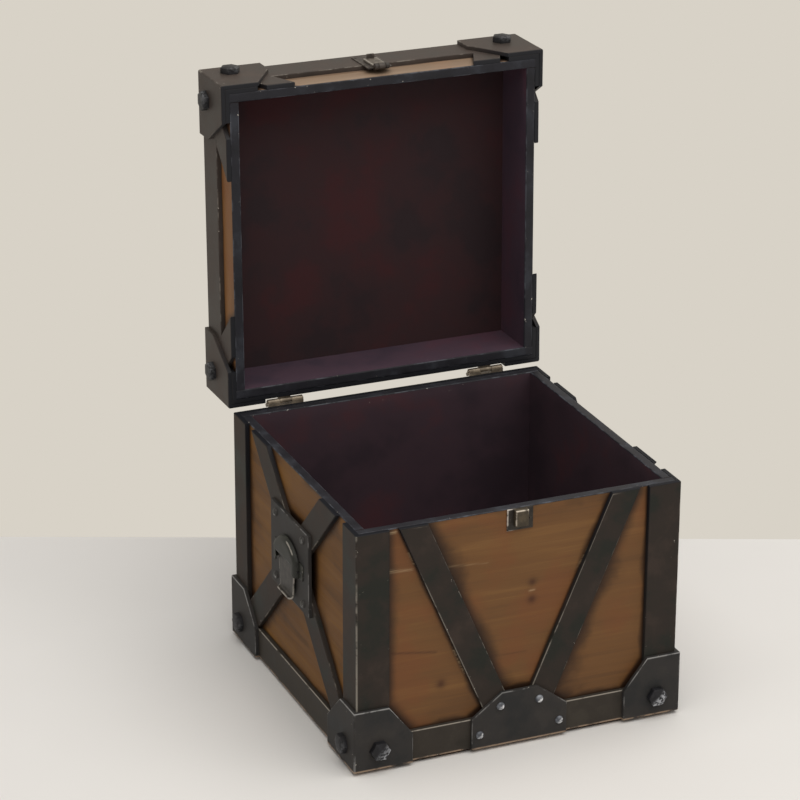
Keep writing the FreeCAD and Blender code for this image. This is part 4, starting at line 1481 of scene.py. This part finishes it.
@dataclass
class Fasteners:
    """The hexagon bolts of the brackets, the dome rivets of the plates, and the heads of nails and screws."""

    plates: Plates
    across: float = 15.0
    head: float = 6.0
    flat: float = 4.2
    shoulder: float = 0.94
    chamfer: float = 0.97
    bulge: float = 0.96
    inset: float = 22.0
    rise: float = 18.0
    lid_drop: float = 19.0
    rivet_radius: float = 3.6
    rivet_height: float = 2.4
    nail_radius: float = 1.2
    nail_height: float = 0.6
    gusset_rivets: tuple = ((17.5, 36.0), (36.0, 13.0))
    plate_rivets: tuple = (31.0, 29.0)
    steps: int = 48
    pole: float = 0.97
    # Scuffs and painted glints on the heads: their strength on the front bolts, the side heads, the gusset
    # rivets and the plate rivets, and where on a head they start, lean to the lower right and lie
    front_scuffs_and_glints: tuple = (0.9, 2.4)
    side_scuff_and_glint: float = 0.15
    gusset_scuff_and_glint: float = 3.0
    plate_scuff_and_glint: float = 0.8
    scuff_and_glint_start: float = 0.2
    glint_lean: float = 1.1
    scuff_and_glint_level: float = 0.6

    def dome(self, radius: Array, profile: Array, wall: Wall, place: tuple, scuff: float) -> Surface:
        """Makes a head by carrying a profile round its axis.

        Args:
            radius: the head's outline, one reach for each direction.
            profile: rows of share of the reach, and height, from the rim to the middle.
            wall: the face that it stands on.
            place: its place along the face, its height above the floor, and its seat above the board.
            scuff: how far its lower right is scuffed and given a painted glint.

        Returns:
            The closed head, with the scuffed part, which also holds the painted glint, as "scuff".
        """
        u, v, base = place
        turn = np.linspace(0, 2 * np.pi, len(radius), endpoint=False)
        share, height = profile[:, :1], profile[:, 1:]
        du, dv = share * radius * np.cos(turn), share * radius * np.sin(turn)
        points = wall.place(u + du, v + dv, base + height + 0 * du)
        # Scuffs and a painted glint, leaning to the lower right of the head's top
        lean = (du - dv) / (np.sqrt(2) * radius.max())
        worn = np.clip(scuff * (self.scuff_and_glint_start + self.glint_lean * lean), 0, 1)
        return swept(points, {"scuff": worn * (height > self.scuff_and_glint_level * height.max())})

    def bolt(self, wall: Wall, u: float, v: float) -> Surface:
        """Makes one hexagon head with a low domed top: upright flats, then a quarter ellipse to the middle.

        Args:
            wall: the face that it stands on.
            u: its place along the face.
            v: its height above the floor.

        Returns:
            The closed head.
        """
        turn = np.linspace(0, 2 * np.pi, self.steps, endpoint=False)
        sector = np.pi / 3
        radius = self.across / 2 / np.cos(turn % sector - sector / 2)
        crown = np.linspace(1, 0.05, 8)
        dome = self.flat + (self.head - self.flat) * np.sqrt(1 - (self.bulge * crown) ** 2)
        top = np.stack([self.chamfer * crown, dome], axis=1)
        profile = np.concatenate([[[1, 0], [1, self.shoulder * self.flat]], top])
        scuff = self.front_scuffs_and_glints[u > 0] if wall is Wall.FRONT and v < BODY_HEIGHT else self.side_scuff_and_glint
        return self.dome(radius, profile, wall, (u, v, self.plates.face), scuff)

    def cap(self, radius: float, height: float, wall: Wall, place: tuple, scuff: float) -> Surface:
        """Makes a round head: a quarter ellipse carried round its axis.

        Args:
            radius: reach of the head.
            height: height of the head.
            wall: the face that it stands on.
            place: its place along the face, its height above the floor, and its seat above the board.
            scuff: how far its lower right is scuffed and given a painted glint.

        Returns:
            The closed head.
        """
        rise = np.linspace(0, np.pi / 2 * self.pole, 9)
        profile = np.stack([np.cos(rise), height * np.sin(rise)], axis=1)
        return self.dome(np.full(self.steps // 2, radius), profile, wall, place, scuff)

    def rivets(self, places: list, base: float, scuff: float) -> Surface:
        """Makes dome rivets.

        Args:
            places: each rivet's face, place along it and height above the floor.
            base: their seat above the board.
            scuff: how far they are scuffed and given a painted glint.

        Returns:
            The rivets as one surface.
        """
        size = self.rivet_radius, self.rivet_height
        return joined([self.cap(*size, wall, (u, v, base), scuff) for wall, u, v in places])

    def nails(self, wall: Wall, places: list, base: float) -> Surface:
        """Makes small nail heads at places along and up a face."""
        size = self.nail_radius, self.nail_height
        return joined([self.cap(*size, wall, (u, v, base), self.side_scuff_and_glint) for u, v in places])

    def bolts(self, v: float) -> Surface:
        """Makes the bolts of one level, two on each face."""
        reach = self.plates.face - self.inset
        return joined([self.bolt(wall, sign * (wall.half + reach), v) for wall in Wall for sign in (-1, 1)])

    def build(self) -> None:
        """Makes the bolts of the body and of the lid, and the rivets."""
        straps, middle = self.plates.straps, LID_TOP / 2
        foot = straps.bare_edge
        low, high = self.bolts(foot + self.rise), self.bolts(LID_TOP - self.lid_drop).moved(LID.opened)
        for body, bolts in (("body", low), ("lid", high)):
            node = body + "_corner_bolts"
            add_piece("iron_" + body + "_bolts", bolts, [BOLT_IRON], body, (node,))
        places = [(Wall.FRONT, sign * u, foot + v) for u, v in self.gusset_rivets for sign in (-1, 1)]
        bright = self.rivets(places, straps.strap + self.plates.gusset, self.gusset_scuff_and_glint)
        half, rise = self.plate_rivets
        places = [(wall, a * half, middle + b * rise)
                  for wall in (Wall.LEFT, Wall.RIGHT) for a in (-1, 1) for b in (-1, 1)]
        dark = self.rivets(places, self.plates.handle_face, self.plate_scuff_and_glint)
        for name, rivets, finish in (("gusset", bright, RIVET_STEEL), ("plate", dark, RIVET_DARK)):
            add_piece("steel_" + name + "_rivets", rivets, [finish], "body", ("dome_rivets",))


@dataclass
class SideHandle:
    """A handle on a side: a pressed hood that carries a pin, and the pull that drops from it."""

    plates: Plates
    fasteners: Fasteners
    wall: Wall
    half_width: float = 25.0
    foot_drop: float = 8.0
    spring_rise: float = 6.0
    crown_rise: float = 19.0
    mouth_rise: float = 1.4
    cheek: float = 7.0
    depth: float = 5.7
    sheet: float = 1.0
    bevel: float = 4.2
    slit: float = 1.2
    cheek_steps: int = 7
    arch_steps: int = 33
    front_steps: int = 5
    mouth_gap: float = 0.3
    dull_height: float = 0.5
    # Where and how strongly a painted highlight lies along the arch's right shoulder
    crest_glint_place: float = 12.0
    crest_glint_half: float = 13.0
    crest_glint_strength: float = 1.5
    foot_width: float = 7.0
    foot_ease: float = 0.3
    nail_share: float = 0.6
    nail_drop: float = 1.0
    pin_drop: float = 2.0
    pin_out: float = 2.2
    knuckle: float = 1.8
    pull_half: float = 18.0
    pull_foot_half: float = 14.5
    pull_drop: float = 29.0
    pull_sheet: float = 1.6
    pull_bend: float = 2.6
    pull_lip: float = 4.5
    pull_corner: float = 4.0
    pull_ease: float = 0.6
    pull_rows: tuple = (10.0, 16.0, 22.0)
    pull_columns: tuple = (1.5, 4.0)

    def hood(self) -> Surface:
        """Makes the hood's outer skin.

        The path climbs one cheek, follows the circular arch through the crown and comes down the other
        cheek. The profile rises from the plate, turns a quarter round and runs in over the front to the
        mouth. Behind the arch it starts a slit above the plate.

        Returns:
            An open skin that a Solidify modifier turns into sheet, with a painted highlight on one shoulder
            of the arch.
        """
        middle = LID_TOP / 2
        spring, crown, foot = middle + self.spring_rise, middle + self.crown_rise, middle - self.foot_drop
        throat = self.half_width - self.cheek
        radius = (self.half_width ** 2 + (crown - spring) ** 2) / (2 * (crown - spring))
        reach = np.arcsin(self.half_width / radius)
        turn = np.linspace(-reach, reach, self.arch_steps)
        climb = np.linspace(foot, spring, self.cheek_steps + 1)[:-1]
        side = np.ones(self.cheek_steps)
        u = np.concatenate([-self.half_width * side, radius * np.sin(turn), self.half_width * side])
        v = np.concatenate([climb, crown - radius * (1 - np.cos(turn)), climb[::-1]])
        arch = np.linspace(-throat, throat, self.arch_steps)
        inner_u = np.concatenate([-throat * side, arch, throat * side])
        inner_v = np.minimum(v, middle + self.mouth_rise)
        span = np.hypot(inner_u - u, inner_v - v)
        base, front = self.plates.handle_face, self.plates.handle_face + self.depth
        inward, drop = quarter_round(self.bevel, 5)
        start = np.concatenate([[0.0], inward])[:, None] / span
        over = np.linspace(0, 1, self.front_steps + 1)[1:, None]
        share = np.concatenate([start, start[-1] + over * (1 - start[-1])])
        height = np.concatenate([[base], front - drop, np.full(self.front_steps, front)])
        rows, columns = share.shape
        level = height[:, None] + np.zeros(columns)
        level[0] += np.where(v > spring, self.slit, 0)
        points = self.wall.place(u + share * (inner_u - u), v + share * (inner_v - v), level)
        edge = nearness(span * (1 - share) + self.mouth_gap) * (height > base + self.dull_height)[:, None]
        # A painted highlight along the arch's right shoulder, where light from above catches the crest, drawn
        # with the rubbed-edge lines
        shoulder = np.exp(-((u - self.crest_glint_place) / self.crest_glint_half) ** 4) * (v > spring)
        wear = np.where(np.arange(rows)[:, None] == 1 + len(drop) // 2, shoulder, 0)
        values = {"edge": np.maximum(edge, self.crest_glint_strength * wear).ravel(), "wear": wear.ravel()}
        return Surface(points.reshape(-1, 3), grid_quads(rows, columns, False), values=values)

    def pull(self) -> Surface:
        """Makes the pull from a centre line with a thickness, carried across its width.

        The centre line drops from the knuckle, then turns a quarter circle out into the finger lip. Its
        half thickness is the knuckle's circle on top, half the sheet below, and rounds off at the lip's
        end. The width narrows towards the lip and rounds off at its corners, and both side edges are eased.

        Returns:
            The closed pull.
        """
        def rounded(radius: float, to_end: Array) -> Array:
            """Gives the height of a quarter circle at distances from its end, and its radius beyond it."""
            return np.sqrt(np.clip(radius ** 2 - np.clip(radius - to_end, 0, None) ** 2, 0, None))

        pin_v, pin_o = LID_TOP / 2 - self.pin_drop, self.plates.handle_face + self.pin_out
        foot, bend, knuckle = pin_v - self.pull_drop, self.pull_bend, self.knuckle
        drop = knuckle + np.array([0, *np.linspace(0.15, 2 * knuckle, 12), *self.pull_rows])
        down = np.concatenate([pin_v + 2 * knuckle - drop, [foot + bend]])
        turn = np.linspace(0, np.pi / 2, 7)[1:]
        lip = np.linspace(0, self.pull_lip - bend, 6)[1:]
        flat = np.ones(len(lip))
        v = np.concatenate([down, foot + bend * (1 - np.sin(turn)), foot * flat])
        o = np.concatenate([0 * down + pin_o, pin_o + bend * (1 - np.cos(turn)), pin_o + bend + lip])
        lean = np.concatenate([0 * down, turn, np.pi / 2 * flat])
        s = np.concatenate([[0.0], np.cumsum(np.hypot(np.diff(v), np.diff(o)))])
        left = s[-1] - s
        sheet = self.pull_sheet / 2
        round_top = np.sqrt(np.clip(knuckle ** 2 - (s - knuckle) ** 2, 0, None))
        thick = np.minimum(np.maximum(round_top, np.where(s > knuckle, sheet, 0)), rounded(sheet, left))
        width = np.interp(v, [foot, pin_v], [self.pull_foot_half, self.pull_half])
        width = width - self.pull_corner + rounded(self.pull_corner, left)
        inward, below = quarter_round(self.pull_ease, 4)
        inset = np.concatenate([inward, self.pull_columns])
        thin = np.concatenate([below, np.zeros(len(self.pull_columns))])
        across = np.concatenate([inset[:, None] - width, width - inset[::-1, None]])
        half = np.clip(thick - np.concatenate([thin, thin[::-1]])[:, None], 0, None)
        rise, out = half * np.sin(lean), half * np.cos(lean)
        ring_u = np.concatenate([across, across[:, ::-1]], axis=1)
        ring_v = np.concatenate([v + rise, (v - rise)[:, ::-1]], axis=1)
        ring_o = np.concatenate([o + out, (o - out)[:, ::-1]], axis=1)
        away = np.minimum(np.concatenate([inset, inset[::-1]])[:, None], left)
        edge = nearness(np.concatenate([away, away[:, ::-1]], axis=1))
        return swept(self.wall.place(ring_u, ring_v, ring_o), {"edge": edge}, True)

    def feet(self) -> Surface:
        """Makes the hood's two feet, flat tabs beside its cheeks.

        Returns:
            The feet as one surface.
        """
        middle, low = LID_TOP / 2, self.plates.handle_face
        start, end = self.half_width - self.sheet, self.half_width + self.foot_width
        bottom, top = middle - self.foot_drop, middle + self.spring_rise
        areas = [rectangle(-end, -start, bottom, top), rectangle(start, end, bottom, top)]
        return joined([plate(area, low, low + self.sheet, self.foot_ease, self.wall.place) for area in areas])

    def build(self) -> None:
        """Makes the hood and the pull."""
        name = self.wall.label
        node = (name + "_pull_hood",)
        add_piece("iron_" + name + "_hood_feet", self.feet(), [HOOD_PAINT], "body", node)
        reach = self.half_width + self.nail_share * self.foot_width
        spots = [(sign * reach, LID_TOP / 2 - self.nail_drop) for sign in (-1, 1)]
        nails = self.fasteners.nails(self.wall, spots, self.plates.handle_face + self.sheet)
        add_piece("iron_" + name + "_hood_nails", nails, [BOLT_IRON], "body")
        hood = add_piece("iron_" + name + "_hood", self.hood(), [HOOD_PAINT], "body", node)
        sheet = hood.modifiers.new("sheet", "SOLIDIFY")
        sheet.thickness = self.sheet * MM
        sheet.offset = -1.0
        pull = "iron_" + name + "_pull"
        add_piece(pull, self.pull(), [PULL_IRON], name + "_pull", (name + "_drop_pull",))


@dataclass
class HaspLatch:
    """The latch: a plate with ears on the lid, the hasp turned back over it, and the catch on the body."""

    straps: Straps
    fasteners: Fasteners
    sheet: float = 1.2
    sheet_ease: float = 0.5
    plate_half: float = 11.0
    plate_top: float = 49.0
    axis_rise: float = 8.0
    barrel: float = 2.8
    knuckle: float = 6.0
    ear: float = 3.3
    ear_ease: float = 0.2
    gap: float = 0.25
    clear: float = 0.4
    hasp_half: float = 6.2
    hasp_sheet: float = 2.0
    hasp_ease: float = 0.6
    hasp_crank: float = 0.4
    hasp_length: float = 25.95
    neck_ease: float = 0.3
    hook: float = 3.8
    hook_half: float = 3.25
    hook_sheet: float = 1.8
    hook_ease: float = 0.4
    catch_half: float = 11.5
    catch_height: float = 19.0
    catch_drop: float = 0.5
    block_half: float = 5.75
    block_height: float = 14.3
    block_face: float = 5.85
    block_ease: float = 0.9
    block_drop: float = 1.0
    # How wide the bright edges of the catch are, painted highlights
    lit_edge: float = 1.2
    nail_reach: float = 8.7
    nail_inset: float = 4.0

    def build(self) -> None:
        """Makes the plate, the hasp and the catch."""
        front, strap = Wall.FRONT, self.straps.strap
        axis, out, half = LID_RIM + self.axis_rise, strap + self.barrel, self.knuckle / 2
        root, top, near = axis + self.barrel + self.clear, LID_RIM + self.plate_top, half + self.gap
        area = rectangle(-self.plate_half, self.plate_half, root, top)
        parts = [plate(area, strap, strap + self.sheet, self.sheet_ease, front.place)]
        for start in (-near - self.ear, near):
            parts.append(bar(front, start, start + self.ear, axis, out, self.barrel))
            tab = rectangle(start, start + self.ear, axis, root + self.clear)
            parts.append(plate(tab, strap, strap + self.sheet, self.ear_ease, front.place))
        self.add("latch_plate", joined(parts), LATCH_BRONZE, "lid", "latch_plate")
        spots = [(sign * self.nail_reach, v) for sign in (-1, 1)
                 for v in (root + self.nail_inset, top - self.nail_inset)]
        nails = self.fasteners.nails(front, spots, strap + self.sheet)
        self.add("latch_nails", nails, LATCH_BRONZE, "lid")
        low = out - self.hasp_crank - self.hasp_sheet / 2
        high, tip = low + self.hasp_sheet, axis + self.hasp_length
        area = rectangle(-self.hasp_half, self.hasp_half, root, tip)
        tongue = plate(area, low, high, self.hasp_ease, front.place)
        self.add("hasp_tongue", tongue, HASP_BRONZE, "hasp", "latch_hasp")
        neck = rectangle(-half, half, axis, root + self.clear)
        hook = rectangle(-self.hook_half, self.hook_half, tip - self.hook_sheet, tip)
        ends = [bar(front, -half, half, axis, out, self.barrel),
                plate(neck, low, high, self.neck_ease, front.place),
                plate(hook, low, high + self.hook, self.hook_ease, front.place)]
        self.add("hasp_ends", joined(ends), LATCH_BRONZE, "hasp", "latch_hasp")
        dress_node("latch_pin", LATCH_BRONZE)
        self.build_catch()

    def build_catch(self) -> None:
        """Makes the catch: a small plate with a rounded block on it."""
        front, top, head = Wall.FRONT, BODY_HEIGHT - self.catch_drop, BODY_HEIGHT - self.block_drop
        area = rectangle(-self.catch_half, self.catch_half, top - self.catch_height, top)
        sheet = plate(area, 0, self.sheet, self.sheet_ease, front.place)
        # Only the left edge stays bright: a painted highlight
        sheet.values["edge"] *= sheet.points[:, 0] < self.lit_edge - self.catch_half
        self.add("catch_plate", sheet, CATCH_BRONZE, "body", "latch_catch")
        spots = [(sign * self.nail_reach, top - self.catch_height / 2) for sign in (-1, 1)]
        self.add("catch_nails", self.fasteners.nails(front, spots, self.sheet), CATCH_BRONZE, "body")
        area = rectangle(-self.block_half, self.block_half, head - self.block_height, head)
        block = plate(area, self.sheet / 2, self.block_face, self.block_ease, front.place)
        x, z = block.points[:, 0], block.points[:, 2]
        # Only the left and top edges stay bright: painted highlights
        block.values["edge"] *= (x < self.lit_edge - self.block_half) | (z > head - self.lit_edge)
        self.add("catch_block", block, BLOCK_BRONZE, "body", "latch_catch")

    def add(self, name: str, surface: Surface, finish: Finish, body: str, *nodes: str) -> None:
        """Adds one bronze piece, swung open where it belongs to the lid.

        Args:
            name: the piece's name without its metal.
            surface: the piece with the lid shut.
            finish: its finish.
            body: the body that it moves with.
            nodes: the CAD nodes that it stands for.
        """
        surface = surface if body == "body" else surface.moved(LID.opened)
        add_piece("bronze_" + name, surface, [finish], body, nodes)


@dataclass
class LidHinges:
    """The two hinges at the back, which keep the frame's shapes and get their screws."""

    fasteners: Fasteners
    spread: float = 95.0
    screw_radius: float = 2.0
    screw_height: float = 0.7
    screw_half: float = 10.0
    # How strongly the screw heads are scuffed and carry a painted glint
    screw_scuff_and_glint: float = 1.0
    leaf_out: float = 5.2
    body_screws: float = 199.0
    lid_screws: float = 230.0

    def screws(self, v: float) -> Surface:
        """Makes the screw heads of both leaves at one height.

        Args:
            v: their height above the floor with the lid shut.

        Returns:
            The heads as one surface.
        """
        size = self.screw_radius, self.screw_height, Wall.BACK
        places = [sign * self.spread + step * self.screw_half for sign in (-1, 1) for step in (-1, 0, 1)]
        return joined([self.fasteners.cap(*size, (u, v, self.leaf_out), self.screw_scuff_and_glint) for u in places])

    def build(self) -> None:
        """Dresses the leaves and pins and adds the screws."""
        for side in ("left", "right"):
            for leaf in ("body", "lid"):
                dress_node(side + "_hinge_" + leaf + "_leaf", HINGE_BRASS)
        dress_node("hinge_pins", HINGE_BRASS)
        dress_node("pull_pins", BOLT_IRON)
        low, high = self.screws(self.body_screws), self.screws(self.lid_screws).moved(LID.opened)
        for body, screws in (("body", low), ("lid", high)):
            add_piece("brass_" + body + "_leaf_screws", screws, [HINGE_BRASS], body)


@dataclass
class Studio:
    """The table, the light and the camera."""

    target: tuple = (-47.5, 0.0, 261.0)
    azimuth: float = -22.907
    elevation: float = 22.102
    roll: float = 0.179
    distance: float = 2723.0
    focal_px: float = 3285.4
    image_px: float = 800.0
    sensor: float = 36.0
    table_back: float = 297.0
    table_span: float = 6000.0
    wall_colour: str = "#d8d2c7"
    sky_colour: str = "#fffdfa"
    sky: float = 0.42
    lamp_place: tuple = (180.0, -650.0, 2300.0)
    lamp_aim: tuple = (0.0, -50.0, 150.0)
    lamp_size: float = 3000.0
    lamp_watts: float = 56.0
    lamp_colour: str = "#fffcf6"

    def axes(self) -> tuple[Vector, Vector, Vector]:
        """Works out the camera's directions from its azimuth, elevation and roll.

        Returns:
            The directions to its right, up and backward.
        """
        a, e, r = np.radians([self.azimuth, self.elevation, self.roll])
        back = Vector((np.sin(a) * np.cos(e), -np.cos(a) * np.cos(e), np.sin(e)))
        right = Vector((np.cos(a), np.sin(a), 0.0))
        up = back.cross(right)
        return right * np.cos(r) + up * np.sin(r), up * np.cos(r) - right * np.sin(r), back

    def camera(self) -> None:
        """Makes the camera at the viewing angle."""
        data = bpy.data.cameras.new("camera")
        data.sensor_width = self.sensor
        data.lens = self.focal_px * self.sensor / self.image_px
        camera = bpy.data.objects.new("camera", data)
        right, up, back = self.axes()
        turn = Matrix((right, up, back)).transposed().to_4x4()
        camera.matrix_world = Matrix.Translation((Vector(self.target) + back * self.distance) * MM) @ turn
        bpy.context.scene.collection.objects.link(camera)
        bpy.context.scene.camera = camera

    def table(self) -> None:
        """Makes the table top: a level rectangle that ends behind the box, square to the view."""
        a = np.radians(self.azimuth)
        ahead, right = np.array([-np.sin(a), np.cos(a), 0.0]), np.array([np.cos(a), np.sin(a), 0.0])
        middle = np.array([self.target[0], self.target[1], 0.0])
        far, half = self.table_back, self.table_span / 2
        spots = rectangle(-half, half, far, far - self.table_span)
        corners = np.array([middle + ahead * depth + right * side for side, depth in spots])
        mesh = bpy.data.meshes.new("table_top")
        mesh.from_pydata(corners * MM, [], [[0, 3, 2, 1]])
        mesh.materials.append(TableTop("laminate_table_top").make())
        table = bpy.data.objects.new("table_top", mesh)
        bpy.context.scene.collection.objects.link(table)

    def lamp(self) -> None:
        """Adds one large soft lamp overhead."""
        data = bpy.data.lights.new("overhead_lamp", "AREA")
        data.size = self.lamp_size * MM
        data.energy = self.lamp_watts
        data.color = linear(self.lamp_colour)[:3]
        lamp = bpy.data.objects.new("overhead_lamp", data)
        lamp.location = Vector(self.lamp_place) * MM
        aim = Vector(self.lamp_aim) - Vector(self.lamp_place)
        lamp.rotation_euler = aim.to_track_quat("-Z", "Y").to_euler()
        bpy.context.scene.collection.objects.link(lamp)

    def world(self) -> None:
        """Lights the box from all round, and shows the camera and mirrors a plain wall colour."""
        world = bpy.data.worlds.new("studio")
        world.use_nodes = True
        world.node_tree.nodes.clear()
        add = partial(add_node, world.node_tree)
        path = add("LightPath").outputs
        seen = add("Math", (path["Is Camera Ray"], path["Is Glossy Ray"]), operation="MAXIMUM")
        seen = add("Math", (seen, path["Is Transmission Ray"]), operation="MAXIMUM")
        sky = add("Background", (self.sky_colour, self.sky))
        wall = add("Background", (self.wall_colour, 1.0))
        add("OutputWorld", {"Surface": add("MixShader", (seen, sky, wall))})
        bpy.context.scene.world = world

    def build(self) -> None:
        """Makes the whole studio."""
        bpy.context.scene.view_settings.view_transform = "Standard"
        self.camera()
        self.table()
        self.world()
        self.lamp()


def main() -> None:
    """Builds the box piece by piece."""
    logging.basicConfig(level=logging.INFO, format="%(message)s")
    straps = Straps()
    plates = Plates(straps)
    fasteners = Fasteners(plates)
    handles = [SideHandle(plates, fasteners, wall) for wall in (Wall.LEFT, Wall.RIGHT)]
    metal = [HaspLatch(straps, fasteners), LidHinges(fasteners)]
    parts = [Boards(straps, plates), straps, plates, fasteners, *handles, *metal]
    for part in [*parts, Studio()]:
        part.build()


if __name__ == "__main__":
    main()
